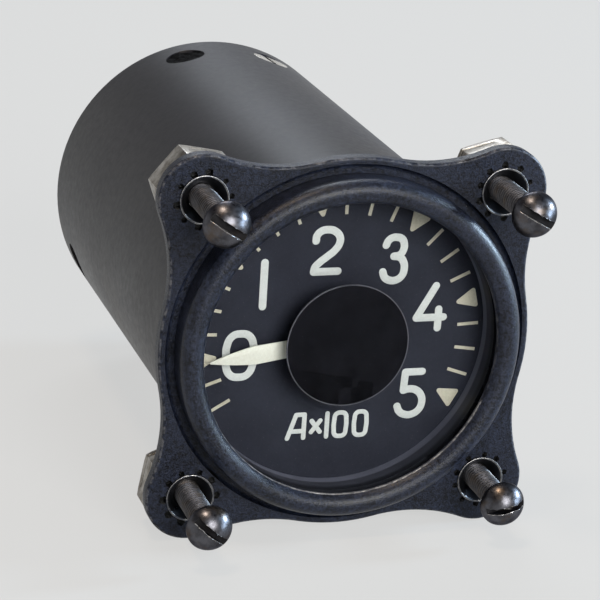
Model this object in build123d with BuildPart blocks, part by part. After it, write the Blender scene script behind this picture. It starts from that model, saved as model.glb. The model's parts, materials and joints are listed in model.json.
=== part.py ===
from build123d import *
from math import asin, atan2, cos, degrees, radians, sin, sqrt
import os

os.makedirs("parts", exist_ok=True)

# Panel-mounted ammeter. The axis of the case is Y, the dial faces -Y and +Z is up.
# The origin is on the axis, in the plane of the flange face that meets the panel.
# All sizes are in millimetres.

# Fits
fit = 0.05                     # radial clearance of pieces that slide together
press_gap = 0.02               # radial gap of pieces that are pressed or glued
seat_gap = 0.1                 # axial play left where a ring closes over another

# Flange
screw_spacing = 47.0           # square pattern of the panel screws
flange_rim = 1.0               # flat between the groove and the edge of the flange
flange_thickness = 2.2
lobe_radius = 6.9
waist_radius = 25.0            # concave blend between the round and a lobe
flange_round = 0.5
neck_wall = 0.7                # wall of the neck that the bezel ring closes over
groove_width = 1.6
groove_depth = 0.9
groove_round = 0.8
socket_wall = 1.25
collar_length = 3.0
collar_chamfer = 0.5
socket_depth = 2.5

# Case
nut_case_gap = 0.284           # between the case and the flat of a nut
tube_wall = 1.2
case_length = 86.5             # flange face to rear rim
rim_round = 0.9
bore_step = 0.55               # the flange is this much narrower inside than the tube

# Bezel ring, gasket and window
bezel_lip_reach = 2.8          # how far the lip comes in over the neck and glass
bezel_wall = 0.75
bezel_crest_height = 4.3
bezel_bead_radius = 1.8
lip_thickness = 0.6
gasket_thickness = 0.5
gasket_width = 1.75
glass_thickness = 1.5
mask_radius = 9.7
mask_thickness = 0.25
lip_back = -2.4                # plane where the bezel's lip meets the gasket

# Dial
spacer_depth = 4.8
spacer_width = 1.65
dial_thickness = 0.8
dial_hole_radius = 6.5
mark_thickness = 0.06
mark_gap = 0.85                # from the marks to the spacer ring
mark_length = 3.4
mark_width = 0.5
main_mark_point = 0.4          # how far a triangle runs on, before its tip is rounded
main_mark_width = 3.5
main_mark_round = 0.35
zero_angle = 188.2             # where the pointer reads 0, seen from the front
step_angle = 240.0 / 22        # one division of the dial
main_mark_every = 4
dial_screw_radius = 0.8
dial_screw_head_radius = 1.2
dial_screw_head_height = 0.7
dial_screw_circle_radius = 7.9
dial_screw_angles = (45, 225)
front_plate_thickness = 1.2

# Panel screws and the nuts in the lobes
screw_radius = 2.0
screw_length = 16.0
head_radius = 3.5
head_height = 3.3
head_edge = 0.7                # height of the straight rim below the dome
head_under_chamfer = 0.25
screw_point = 0.5
head_slot_width = 1.15
head_slot_depth = 1.6
nut_across_flats = 11.8
nut_thickness = 5.5
nut_collar_radius = 3.75
nut_collar_proud = 0.3
nut_mouth_radius = 3.5         # the collar is flared open by a conical punch
nut_mouth_depth = 2.0
nut_chamfer_radius = 6.3       # radius of the turned circle on the nut's rear face
nut_chamfer_slope = 0.5
nut_slit_width = 0.35
nut_slit_offset = 4.1          # from the flange to the locking slit
nut_slit_overrun = 4.4         # cut from the case side, the slit ends this far past the nut's axis

# name, side in X, side in Z, head stand-off, slot angle, turn of the nut off the case's radius
corners = (
    ("top_left", -1, 1, 11.9, -33, 5),
    ("top_right", 1, 1, 11.4, -29, 0),
    ("bottom_left", -1, -1, 11.0, -40, 5),
    ("bottom_right", 1, -1, 9.3, 11, 3),
)

# Magnet system
pole_front = 16.0
pole_length = 16.0
pole_inset = 0.4               # the inner pole is this much shorter at each end
pole_pillar_gap = 0.75
outer_pole_wall = 4.9
air_gap = 2.6
inner_pole_wall = 4.8
inner_pole_slit = 0.6
magnet_width = 12.0
magnet_web = 2.1               # outer pole left behind the magnet
pole_screw_radius = 1.2
pole_screw_head_radius = 2.2
pole_screw_head_height = 0.95
pole_screw_recess = 1.2
pole_screw_depth = 3.0         # bite of the screws in the inner pole
pole_screw_spacing = 8.0
movement_plate_thickness = 2.0
movement_plate_step = 0.6      # its bore is this much wider than the outer pole's

# Moving system
staff_radius = 0.8
pivot_radius = 0.3
pivot_length = 0.9
jewel_radius = 1.2
jewel_cup_depth = 0.8
jewel_length = 2.2
jewel_proud = 0.2              # the jewel screws stand out of their bridges this far
pivot_clearance = 0.05
pointer_thickness = 0.3
pointer_overlap = 1.55         # how far its tip reaches over the marks
pointer_half_width = 1.5
pointer_shoulder = 13.8        # where the blade starts to narrow
pointer_root = 2.4
pointer_tip_width = 0.24
pointer_waist = (17.5, 0.92)   # point on the curved edge that runs to the tip
pointer_gap = 0.3              # from the jewel screw to the pointer
collet_radius = 1.6
coil_clearance = 0.6           # from the coil's outer leg to the outer pole
coil_inner_clearance = 1.1     # from its inner leg to the inner pole
coil_thickness = 0.9
coil_width = 2.2
coil_gap = 0.6                 # axial gap between the poles and the coil's legs
coil_corner = 1.2
former_thickness = 0.3
former_width = 3.0
bracket_thickness = 0.7
bracket_hub_radius = 2.0
bracket_width = 2.6
bracket_reach = 10.0
balance_rod_radius = 0.5
balance_rod_reach = 13.0
balance_weight_radius = 2.5
balance_weight_start = 5.6
balance_weight_length = 7.2
balance_plane = 10.5

# Bridges and hairsprings
cock_arm_gap = 0.3             # between the mask and the cock's arm
cock_arm_thickness = 1.1
cock_boss_radius = 2.0
cock_leg_inner = 4.9           # distance of the leg's inner face from the axis
cock_leg_thickness = 1.3
cock_leg_width = 2.0
cock_foot_length = 6.0
cock_foot_width = 7.0
cock_foot_thickness = 1.0
spring_width = 0.6
spring_thickness = 0.15
spring_inner = 1.85
spring_half_turns = 8
rear_spring_gap = 0.8          # from the rear hairspring to the bridge
bridge_edge = 4.25             # from the end of the rear bridge to the plate's edge
bridge_foot = 4.0
bridge_rise = 2.0
bridge_thickness = 1.6
tag_width = 3.0
tag_thickness = 1.0
tag_overhang = 0.8

# Pillars, base and terminals
pillar_radius = 1.75
pillar_edge = 0.5              # from a pillar to the edge of the plates
pillar_angles = (30, 150, 270)
base_depth = 12.5              # from the base's front to the rim of the case
base_recess = 0.8              # rear face of the base below the rim of the case
base_web = 3.0
base_skirt = 4.6
terminal_spacing = 20.0
boss_radius = 6.0
boss_height = 1.5
barrier_width = 1.8
barrier_length = 24.0
barrier_height = 6.0
stud_radius = 2.5
stud_head_radius = 4.0
stud_head_height = 2.5
stud_projection = 11.8         # beyond the boss
stud_chamfer = 0.4
washer_radius = 5.0
washer_thickness = 1.0
terminal_nut_flats = 8.0
terminal_nut_thickness = 4.0
terminal_nut_turn = 12

# Screws through the case wall into the base
base_screw_inset = 8.2         # from the rim of the case
base_screw_radius = 1.7
base_screw_head = 3.4
base_screw_length = 4.9
base_screw_slot = 0.9
base_screw_slot_depth = 0.8
base_screw_slot_angle = 8
bare_screw_angles = (70,)
bare_screw_sink = 0.15         # its head lies this far below the wall
sealed_screw_angles = (104, 204, 324)
seal_depth = 0.6
seal_recess = 0.12

# Swamping resistor and leads
bobbin_length = 16.7
bobbin_core = 2.2
bobbin_flange = 5.5
bobbin_flange_thickness = 1.2
bobbin_height = 10.0           # above the axis
winding_radius = 4.8
lead_radius = 0.6
lead_bend = 7.0
lead_run_length = 9.0                 # straight run before a lead turns
supply_bend = 5.5
supply_loop = 10.0             # how far the supply lead passes the end of the bobbin
bobbin_joint = 3.0             # where a lead meets the bobbin, from the bobbin's axis

# Worked-out places along the axis
glass_front = lip_back + gasket_thickness
glass_back = glass_front + glass_thickness
dial_front = glass_back + spacer_depth
dial_back = dial_front + dial_thickness
front_plate_back = dial_back + front_plate_thickness
pole_back = pole_front + pole_length
movement_plate_back = pole_back + movement_plate_thickness
bridge_front = movement_plate_back + bridge_rise
bridge_back = bridge_front + bridge_thickness
base_back = case_length - base_recess
base_front = case_length - base_depth
base_web_front = base_back - base_web
base_screw_plane = case_length - base_screw_inset
boss_face = base_back + boss_height
socket_floor = flange_thickness + collar_length - socket_depth
neck_front = lip_back + seat_gap

# Worked-out radii
half_spacing = screw_spacing / 2
tube_radius = half_spacing * sqrt(2) - nut_across_flats / 2 - nut_case_gap
tube_bore = tube_radius - tube_wall
bore_radius = tube_bore - bore_step
collar_radius = tube_radius + socket_wall
neck_radius = bore_radius + neck_wall
bezel_inner_radius = neck_radius - bezel_lip_reach
bezel_bore = neck_radius + fit
bezel_radius = bezel_bore + bezel_wall
groove_radius = bezel_radius + groove_width
flange_radius = groove_radius + flange_rim
inner_disc_radius = bore_radius - fit
gasket_inner_radius = inner_disc_radius - gasket_width
spacer_inner_radius = inner_disc_radius - spacer_width
mark_outer_radius = spacer_inner_radius - mark_gap
mark_inner_radius = mark_outer_radius - mark_length
pointer_reach = mark_inner_radius + pointer_overlap
base_radius = tube_bore - fit
nut_corner_radius = nut_across_flats / sqrt(3)
pillar_circle_radius = inner_disc_radius - pillar_edge - pillar_radius
outer_pole_radius = pillar_circle_radius - pillar_radius - pole_pillar_gap
outer_pole_bore = outer_pole_radius - outer_pole_wall
inner_pole_radius = outer_pole_bore - air_gap
inner_pole_bore = inner_pole_radius - inner_pole_wall
magnet_seat = outer_pole_radius - magnet_web
movement_plate_bore = outer_pole_bore + movement_plate_step
coil_outer = outer_pole_bore - coil_clearance
coil_inner = inner_pole_bore - coil_inner_clearance - coil_thickness
bridge_span = inner_disc_radius - bridge_edge


def facing(y):
    """Plane across the axis at y, seen from the front: X to the right, Z up."""
    return Plane(origin=(0, y, 0), x_dir=(1, 0, 0), z_dir=(0, -1, 0))


def facing_at(x, y, z):
    """The same plane with its origin moved to a point beside the axis."""
    return Plane(origin=(x, y, z), x_dir=(1, 0, 0), z_dir=(0, -1, 0))


def turned(y, angle, x=0, z=0):
    """Plane across the axis whose X direction points at the given dial angle."""
    direction = (cos(radians(angle)), 0, sin(radians(angle)))
    return Plane(origin=(x, y, z), x_dir=direction, z_dir=(0, -1, 0))


def radial_section(angle):
    """Plane through the axis: X is the distance from it at the dial angle, Y runs along it."""
    c, s = cos(radians(angle)), sin(radians(angle))
    return Plane(origin=(0, 0, 0), x_dir=(c, 0, s), z_dir=(-s, 0, c))


def outward(angle, radius, y):
    """Plane that faces away from the axis at the dial angle."""
    c, s = cos(radians(angle)), sin(radians(angle))
    return Plane(origin=(radius * c, y, radius * s), x_dir=(0, 1, 0), z_dir=(c, 0, s))


def write(builder, name):
    builder.part.label = name
    export_step(builder.part, f"parts/{name}.step")


# Case tube with a rounded rear rim
with BuildPart() as case_tube:
    with BuildSketch(Plane.XY) as tube_section:
        with BuildLine():
            Polyline(
                (tube_bore, socket_floor),
                (tube_radius, socket_floor),
                (tube_radius, case_length),
                (tube_bore, case_length),
                close=True,
            )
        make_face()
        fillet(tube_section.vertices().group_by(Axis.Y)[-1].sort_by(Axis.X)[-1], rim_round)
    revolve(axis=Axis.Y)
    for angle in bare_screw_angles:
        with Locations(outward(angle, tube_radius, base_screw_plane)):
            CounterSinkHole(base_screw_radius + fit, base_screw_head + fit, 2 * tube_wall, 90)
    for angle in sealed_screw_angles:
        with BuildSketch(outward(angle, tube_radius + tube_wall, base_screw_plane)):
            Circle(base_screw_head + fit)
        extrude(amount=-(tube_wall + seal_depth), mode=Mode.SUBTRACT)
        with Locations(outward(angle, tube_radius - seal_depth, base_screw_plane)):
            CounterSinkHole(base_screw_radius + fit, base_screw_head + fit, 2 * tube_wall, 90)
write(case_tube, "case_tube")

# Cast flange with four lobes, a neck for the bezel ring and a socket for the tube
with BuildPart() as front_flange:
    with BuildSketch(facing(0)) as outline:
        Circle(flange_radius)
        with GridLocations(screw_spacing, screw_spacing, 2, 2):
            Circle(lobe_radius)
        fillet(outline.vertices(), waist_radius)
    extrude(amount=-flange_thickness)
    fillet(front_flange.edges().group_by(Axis.Y)[0], flange_round)
    fillet(front_flange.edges().group_by(Axis.Y)[-1], flange_round / 2)
    with BuildSketch(Plane.XY) as collar_section:
        with BuildLine():
            Polyline(
                (bore_radius, neck_front),
                (neck_radius, neck_front),
                (neck_radius, flange_thickness / 2),
                (collar_radius, flange_thickness / 2),
                (collar_radius, flange_thickness + collar_length),
                (bore_radius, flange_thickness + collar_length),
                close=True,
            )
        make_face()
        chamfer(collar_section.vertices().group_by(Axis.Y)[-1].sort_by(Axis.X)[-1], collar_chamfer)
    revolve(axis=Axis.Y)
    with BuildSketch(Plane.XY) as groove_section:
        with BuildLine():
            Line((neck_radius, -1), (neck_radius, groove_depth))
            Line((neck_radius, groove_depth), (groove_radius - groove_round, groove_depth))
            Spline(
                (groove_radius - groove_round, groove_depth),
                (groove_radius, 0),
                tangents=((1, 0), (0.2, -1)),
            )
            Line((groove_radius, 0), (groove_radius, -1))
            Line((groove_radius, -1), (neck_radius, -1))
        make_face()
    revolve(axis=Axis.Y, mode=Mode.SUBTRACT)
    with BuildSketch(facing(neck_front)):
        Circle(bore_radius)
    extrude(amount=-(flange_thickness + collar_length - neck_front), mode=Mode.SUBTRACT)
    with BuildSketch(facing(socket_floor)):
        Circle(tube_radius + fit)
    extrude(amount=-socket_depth, mode=Mode.SUBTRACT)
    with BuildSketch(facing(-1)):
        with GridLocations(screw_spacing, screw_spacing, 2, 2):
            Circle(nut_collar_radius + press_gap)
    extrude(amount=-(flange_thickness + 2), mode=Mode.SUBTRACT)
    with BuildSketch(facing(flange_thickness)):
        with GridLocations(screw_spacing, screw_spacing, 2, 2):
            Circle(nut_corner_radius + fit)
    extrude(amount=-(collar_length + 1), mode=Mode.SUBTRACT)
write(front_flange, "front_flange")

# Rolled bezel ring: a straight skirt around the neck and a round bead over the glass
with BuildPart() as bezel_ring:
    crest_radius = bezel_radius - bezel_bead_radius
    with BuildSketch(Plane.XY):
        with BuildLine():
            Line((bezel_bore, lip_back), (bezel_bore, groove_depth))
            Line((bezel_bore, groove_depth), (bezel_radius, groove_depth))
            shoulder = (bezel_radius, bezel_bead_radius - bezel_crest_height)
            Line((bezel_radius, groove_depth), shoulder)
            TangentArc(shoulder, (crest_radius, -bezel_crest_height), tangent=(0, -1))
            TangentArc(
                (crest_radius, -bezel_crest_height),
                (bezel_inner_radius, lip_back - lip_thickness),
                tangent=(-1, 0),
            )
            Line((bezel_inner_radius, lip_back - lip_thickness), (bezel_inner_radius, lip_back))
            Line((bezel_inner_radius, lip_back), (bezel_bore, lip_back))
        make_face()
    revolve(axis=Axis.Y)
write(bezel_ring, "bezel_ring")

# Flat rings and discs stacked behind the bezel
with BuildPart() as glass_gasket:
    with BuildSketch(facing(lip_back)):
        Circle(inner_disc_radius)
        Circle(gasket_inner_radius, mode=Mode.SUBTRACT)
    extrude(amount=-gasket_thickness)
write(glass_gasket, "glass_gasket")

with BuildPart() as window_glass:
    with BuildSketch(facing(glass_front)):
        Circle(inner_disc_radius)
    extrude(amount=-glass_thickness)
write(window_glass, "window_glass")

with BuildPart() as hub_mask:
    with BuildSketch(facing(glass_back)):
        Circle(mask_radius)
    extrude(amount=-mask_thickness)
write(hub_mask, "hub_mask")

with BuildPart() as spacer_ring:
    with BuildSketch(facing(glass_back)):
        Circle(inner_disc_radius)
        Circle(spacer_inner_radius, mode=Mode.SUBTRACT)
    extrude(amount=-spacer_depth)
write(spacer_ring, "spacer_ring")

with BuildPart() as dial_plate:
    with BuildSketch(facing(dial_front)):
        Circle(inner_disc_radius)
        Circle(dial_hole_radius, mode=Mode.SUBTRACT)
        for angle in dial_screw_angles:
            with PolarLocations(dial_screw_circle_radius, 1, angle):
                Circle(dial_screw_radius + press_gap, mode=Mode.SUBTRACT)
    extrude(amount=-dial_thickness)
write(dial_plate, "dial_plate")

# Marks of the scale: two below zero, then one each division, with triangles at the numbers
with BuildPart() as dial_marks:
    with BuildSketch(facing(dial_front)):
        for division in range(-2, 21):
            angle = zero_angle - division * step_angle
            if division % main_mark_every:
                with PolarLocations(mark_inner_radius + mark_length / 2, 1, angle):
                    Rectangle(mark_length, mark_width)
            elif division >= 0:
                with BuildSketch(mode=Mode.PRIVATE) as triangle:
                    Polygon(
                        (mark_inner_radius - main_mark_point, 0),
                        (mark_outer_radius, main_mark_width / 2),
                        (mark_outer_radius, -main_mark_width / 2),
                        align=None,
                    )
                    fillet(triangle.vertices(), main_mark_round)
                add(triangle.sketch, rotation=angle)
    extrude(amount=mark_thickness)
write(dial_marks, "dial_marks")

# Plate behind the dial
with BuildPart() as front_plate:
    with BuildSketch(facing(dial_back)):
        Circle(inner_disc_radius)
        Circle(dial_hole_radius, mode=Mode.SUBTRACT)
        for angle in dial_screw_angles:
            with PolarLocations(dial_screw_circle_radius, 1, angle):
                Circle(dial_screw_radius + press_gap, mode=Mode.SUBTRACT)
    extrude(amount=-front_plate_thickness)
write(front_plate, "front_plate")

with BuildPart() as dial_screws:
    for angle in dial_screw_angles:
        with BuildSketch(facing(dial_front - dial_screw_head_height)):
            with PolarLocations(dial_screw_circle_radius, 1, angle):
                Circle(dial_screw_head_radius)
        extrude(amount=-dial_screw_head_height)
        with BuildSketch(facing(dial_front)):
            with PolarLocations(dial_screw_circle_radius, 1, angle):
                Circle(dial_screw_radius)
        extrude(amount=-(dial_thickness + front_plate_thickness))
write(dial_screws, "dial_screws")


def make_anchor_nut(name, x, z, turn):
    """Hexagonal nut behind a lobe, with a collar staked through the flange and a locking slit."""
    outward_angle = degrees(atan2(z, x)) + turn
    flat_to_case = 30
    clear_radius = nut_corner_radius + 1
    chamfer_drop = (clear_radius - nut_chamfer_radius) * nut_chamfer_slope
    with BuildPart() as anchor_nut:
        with BuildSketch(turned(flange_thickness, outward_angle, x, z)):
            RegularPolygon(nut_across_flats / 2, 6, major_radius=False, rotation=flat_to_case)
        extrude(amount=-nut_thickness)
        with BuildSketch(Plane(origin=(x, flange_thickness, z), x_dir=(1, 0, 0), z_dir=(0, 0, 1))):
            with BuildLine():
                Polyline(
                    (0, 0),
                    (clear_radius, 0),
                    (clear_radius, nut_thickness - chamfer_drop),
                    (nut_chamfer_radius, nut_thickness),
                    (0, nut_thickness),
                    close=True,
                )
            make_face()
        revolve(axis=Axis((x, 0, z), (0, 1, 0)), mode=Mode.INTERSECT)
        with BuildSketch(facing_at(x, flange_thickness, z)):
            Circle(nut_collar_radius)
        extrude(amount=flange_thickness + nut_collar_proud)
        with BuildSketch(Plane(origin=(x, -nut_collar_proud, z), x_dir=(1, 0, 0), z_dir=(0, 0, 1))):
            Polygon(
                (0, 0), (nut_mouth_radius, 0), (screw_radius + fit, nut_mouth_depth), (0, nut_mouth_depth),
                align=None,
            )
        revolve(axis=Axis((x, 0, z), (0, 1, 0)), mode=Mode.SUBTRACT)
        with BuildSketch(facing_at(x, -nut_collar_proud, z)):
            Circle(screw_radius + fit)
        extrude(amount=-(nut_collar_proud + flange_thickness + nut_thickness), mode=Mode.SUBTRACT)
        with BuildSketch(turned(flange_thickness + nut_slit_offset, outward_angle, x, z)):
            with Locations((nut_slit_overrun, 0)):
                Rectangle(nut_across_flats, 2 * nut_across_flats, align=(Align.MAX, Align.CENTER))
        extrude(amount=-nut_slit_width, mode=Mode.SUBTRACT)
    write(anchor_nut, name)


def make_panel_screw(name, x, z, stand_off, slot_angle):
    """Round-head slotted screw, standing part of the way out of its nut."""
    dome_height = head_height - head_edge
    dome_radius = (head_radius**2 + dome_height**2) / (2 * dome_height)
    half_arc = asin(head_radius / dome_radius) / 2
    dome_middle = (dome_radius * sin(half_arc), dome_radius * (1 - cos(half_arc)) - head_height)
    with BuildPart() as panel_screw:
        with BuildSketch(Plane(origin=(x, -stand_off, z), x_dir=(1, 0, 0), z_dir=(0, 0, 1))):
            with BuildLine():
                Polyline(
                    (0, -head_height),
                    (0, screw_length),
                    (screw_radius - screw_point, screw_length),
                    (screw_radius, screw_length - screw_point),
                    (screw_radius, 0),
                    (head_radius - head_under_chamfer, 0),
                    (head_radius, -head_under_chamfer),
                    (head_radius, -head_edge),
                )
                ThreePointArc((head_radius, -head_edge), dome_middle, (0, -head_height))
            make_face()
        revolve(axis=Axis((x, 0, z), (0, 1, 0)))
        with BuildSketch(facing_at(x, -stand_off - head_height, z)):
            Rectangle(3 * head_radius, head_slot_width, rotation=slot_angle)
        extrude(amount=-head_slot_depth, mode=Mode.SUBTRACT)
    write(panel_screw, name)


for corner, side_x, side_z, stand_off, slot_angle, nut_turn in corners:
    corner_x = side_x * half_spacing
    corner_z = side_z * half_spacing
    make_anchor_nut(f"anchor_nut_{corner}", corner_x, corner_z, nut_turn)
    make_panel_screw(f"panel_screw_{corner}", corner_x, corner_z, stand_off, slot_angle)

# Magnet system: an outer pole, a slit inner pole and the magnet between them
with BuildPart() as outer_pole:
    with BuildSketch(facing(pole_front)):
        Circle(outer_pole_radius)
        Circle(outer_pole_bore, mode=Mode.SUBTRACT)
        with Locations((0, -magnet_seat / 2)):
            Rectangle(magnet_width + 2 * fit, magnet_seat, mode=Mode.SUBTRACT)
    extrude(amount=-pole_length)
    for side in (-1, 1):
        screw_y = pole_front + pole_length / 2 + side * pole_screw_spacing / 2
        with BuildSketch(outward(270, outer_pole_radius + 1, screw_y)):
            Circle(pole_screw_head_radius + fit)
        extrude(amount=-(1 + pole_screw_recess), mode=Mode.SUBTRACT)
        with BuildSketch(outward(270, outer_pole_radius, screw_y)):
            Circle(pole_screw_radius + fit)
        extrude(amount=-(outer_pole_radius - outer_pole_bore), mode=Mode.SUBTRACT)
write(outer_pole, "outer_pole")

with BuildPart() as inner_pole:
    with BuildSketch(facing(pole_front + pole_inset)):
        Circle(inner_pole_radius)
        Circle(inner_pole_bore, mode=Mode.SUBTRACT)
        with Locations((magnet_width / 2 + inner_pole_slit, -inner_pole_radius)):
            Rectangle(inner_pole_slit, 2 * inner_pole_radius, mode=Mode.SUBTRACT)
    extrude(amount=-(pole_length - 2 * pole_inset))
    for side in (-1, 1):
        screw_y = pole_front + pole_length / 2 + side * pole_screw_spacing / 2
        with BuildSketch(outward(270, inner_pole_radius + 1, screw_y)):
            Circle(pole_screw_radius + fit)
        extrude(amount=-(1 + pole_screw_depth + fit), mode=Mode.SUBTRACT)
write(inner_pole, "inner_pole")

with BuildPart() as magnet:
    with BuildSketch(facing(pole_front + pole_inset)):
        with Locations((0, -(magnet_seat + inner_pole_bore) / 2)):
            Rectangle(magnet_width, magnet_seat - inner_pole_bore)
        Circle(inner_pole_radius + press_gap, mode=Mode.SUBTRACT)
    extrude(amount=-(pole_length - 2 * pole_inset))
    for side in (-1, 1):
        screw_y = pole_front + pole_length / 2 + side * pole_screw_spacing / 2
        with BuildSketch(outward(270, magnet_seat + 1, screw_y)):
            Circle(pole_screw_radius + fit)
        extrude(amount=-(magnet_seat - inner_pole_bore), mode=Mode.SUBTRACT)
write(magnet, "magnet")

with BuildPart() as pole_screws:
    head_seat = outer_pole_radius - pole_screw_recess
    for side in (-1, 1):
        screw_y = pole_front + pole_length / 2 + side * pole_screw_spacing / 2
        with BuildSketch(outward(270, head_seat, screw_y)):
            Circle(pole_screw_head_radius)
        extrude(amount=pole_screw_head_height)
        with BuildSketch(outward(270, head_seat, screw_y)):
            Circle(pole_screw_radius)
        extrude(amount=-(head_seat - inner_pole_radius + pole_screw_depth))
write(pole_screws, "pole_screws")

# Plate that carries the magnet system, and the pillars before and behind it
with BuildPart() as movement_plate:
    with BuildSketch(facing(pole_back)):
        Circle(inner_disc_radius)
        Circle(movement_plate_bore, mode=Mode.SUBTRACT)
    extrude(amount=-movement_plate_thickness)
write(movement_plate, "movement_plate")


def make_pillars(name, front, back):
    with BuildPart() as pillars:
        with BuildSketch(facing(front)):
            for angle in pillar_angles:
                with PolarLocations(pillar_circle_radius, 1, angle):
                    RegularPolygon(pillar_radius, 6)
        extrude(amount=-(back - front))
    write(pillars, name)


make_pillars("front_pillars", front_plate_back, pole_back)
make_pillars("rear_pillars", movement_plate_back, base_front)

# Front cock: a foot behind the front plate, a leg through the dial and an arm over the staff
cock_arm_front = glass_back + mask_thickness + cock_arm_gap
cock_leg_outer = cock_leg_inner + cock_leg_thickness
with BuildPart() as front_cock:
    with BuildSketch(facing(front_plate_back)):
        with Locations((0, -cock_leg_inner)):
            Rectangle(cock_foot_width, cock_foot_length, align=(Align.CENTER, Align.MAX))
    extrude(amount=-cock_foot_thickness)
    with BuildSketch(facing(cock_arm_front)):
        with Locations((0, -cock_leg_inner)):
            Rectangle(cock_leg_width, cock_leg_thickness, align=(Align.CENTER, Align.MAX))
    extrude(amount=-(front_plate_back - cock_arm_front))
    with BuildSketch(facing(cock_arm_front)):
        with Locations((0, -cock_leg_outer)):
            Rectangle(cock_leg_width, cock_leg_outer, align=(Align.CENTER, Align.MIN))
        Circle(cock_boss_radius)
        Circle(jewel_radius + press_gap, mode=Mode.SUBTRACT)
    extrude(amount=-cock_arm_thickness)
write(front_cock, "front_cock")

# Rear bridge with two feet on the movement plate
with BuildPart() as rear_bridge:
    with BuildSketch(facing(bridge_front)):
        Rectangle(2 * bridge_span, 2 * cock_leg_inner)
        Circle(jewel_radius + press_gap, mode=Mode.SUBTRACT)
    extrude(amount=-bridge_thickness)
    with BuildSketch(facing(movement_plate_back)):
        for side in (-1, 1):
            with Locations((side * (bridge_span - bridge_foot / 2), 0)):
                Rectangle(bridge_foot, 2 * cock_leg_inner)
    extrude(amount=-bridge_rise)
write(rear_bridge, "rear_bridge")

# Jewel screws: a cup towards the staff at each end
front_jewel_start = cock_arm_front - jewel_proud
front_cup_floor = front_jewel_start + jewel_length - jewel_cup_depth
rear_jewel_start = bridge_front - jewel_proud
rear_cup_floor = rear_jewel_start + jewel_cup_depth
with BuildPart() as front_jewel_screw:
    with BuildSketch(facing(front_jewel_start)):
        Circle(jewel_radius)
    extrude(amount=-jewel_length)
    with BuildSketch(facing(front_cup_floor)):
        Circle(pivot_radius + pivot_clearance)
    extrude(amount=-jewel_length, mode=Mode.SUBTRACT)
write(front_jewel_screw, "front_jewel_screw")

with BuildPart() as rear_jewel_screw:
    with BuildSketch(facing(rear_jewel_start)):
        Circle(jewel_radius)
    extrude(amount=-jewel_length)
    with BuildSketch(facing(rear_jewel_start)):
        Circle(pivot_radius + pivot_clearance)
    extrude(amount=-jewel_cup_depth, mode=Mode.SUBTRACT)
write(rear_jewel_screw, "rear_jewel_screw")


def make_hairspring(name, y):
    """Flat spiral whose outer end is held by the post below the axis."""
    outer = cock_leg_inner - press_gap - spring_thickness / 2
    growth = (outer - spring_inner) / spring_half_turns
    down = Plane(origin=(0, y, 0), x_dir=(0, 0, -1), z_dir=(0, -1, 0))
    with BuildPart() as hairspring:
        with BuildLine(down) as spiral:
            for turn in range(spring_half_turns):
                side = 1 if (spring_half_turns - turn) % 2 == 0 else -1
                start = side * (spring_inner + turn * growth)
                end = -side * (spring_inner + (turn + 1) * growth)
                ThreePointArc((start, 0), ((start + end) / 2, (start - end) / 2), (end, 0))
        start_plane = Plane(origin=spiral.line @ 0, x_dir=(0, 1, 0), z_dir=spiral.line % 0)
        with BuildSketch(start_plane):
            Rectangle(spring_width, spring_thickness)
        sweep(path=spiral.line)
    write(hairspring, name)


front_spring_plane = dial_front + dial_thickness
rear_spring_plane = bridge_front - rear_spring_gap
make_hairspring("front_hairspring", front_spring_plane)
make_hairspring("rear_hairspring", rear_spring_plane)

# Insulated tag that holds the rear hairspring
tag_front = rear_spring_plane - spring_width
tag_back = bridge_back + tag_overhang
with BuildPart() as spring_tag:
    with BuildSketch(facing(tag_front)):
        with Locations((0, -cock_leg_inner)):
            Rectangle(tag_width, tag_thickness, align=(Align.CENTER, Align.MAX))
    extrude(amount=-(tag_back - tag_front))
write(spring_tag, "spring_tag")

# Moulded base: a skirt inside the tube, a rear web, two bosses and a barrier between them
with BuildPart() as rear_base:
    with BuildSketch(facing(base_front)):
        Circle(base_radius)
    extrude(amount=-(base_back - base_front))
    with BuildSketch(facing(base_front)):
        Circle(base_radius - base_skirt)
    extrude(amount=-(base_web_front - base_front), mode=Mode.SUBTRACT)
    with BuildSketch(facing(base_back)):
        with GridLocations(terminal_spacing, 1, 2, 1):
            Circle(boss_radius)
    extrude(amount=-boss_height)
    with BuildSketch(facing(base_back)):
        SlotOverall(barrier_length, barrier_width, rotation=90)
    extrude(amount=-barrier_height)
    with BuildSketch(facing(base_web_front)):
        with GridLocations(terminal_spacing, 1, 2, 1):
            Circle(stud_radius + press_gap)
    extrude(amount=-(base_web + boss_height), mode=Mode.SUBTRACT)
    screw_hole_depth = base_screw_length + bare_screw_sink + fit
    for angle in bare_screw_angles:
        with Locations(outward(angle, tube_radius, base_screw_plane)):
            CounterSinkHole(base_screw_radius + fit, base_screw_head + fit, screw_hole_depth, 90)
    for angle in sealed_screw_angles:
        with Locations(outward(angle, tube_radius - seal_depth, base_screw_plane)):
            CounterSinkHole(base_screw_radius + fit, base_screw_head + fit, screw_hole_depth, 90)
write(rear_base, "rear_base")


def make_base_screw(name, angles, mouth, sink):
    """Countersunk slotted screws along the radius, sunk a little below the mouth of their holes."""
    head = base_screw_head - sink
    top = mouth - sink
    with BuildPart() as base_screw:
        for angle in angles:
            c, s = cos(radians(angle)), sin(radians(angle))
            origin = (top * c, base_screw_plane, top * s)
            with BuildSketch(Plane(origin=origin, x_dir=(0, 1, 0), z_dir=(-s, 0, c))):
                with BuildLine():
                    Polyline(
                        (0, 0),
                        (head, 0),
                        (base_screw_radius, head - base_screw_radius),
                        (base_screw_radius, base_screw_length),
                        (0, base_screw_length),
                        close=True,
                    )
                make_face()
            revolve(axis=Axis(origin, (c, 0, s)))
            with BuildSketch(outward(angle, top, base_screw_plane)):
                Rectangle(base_screw_slot, 3 * base_screw_head, rotation=base_screw_slot_angle)
            extrude(amount=-base_screw_slot_depth, mode=Mode.SUBTRACT)
    write(base_screw, name)


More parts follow.
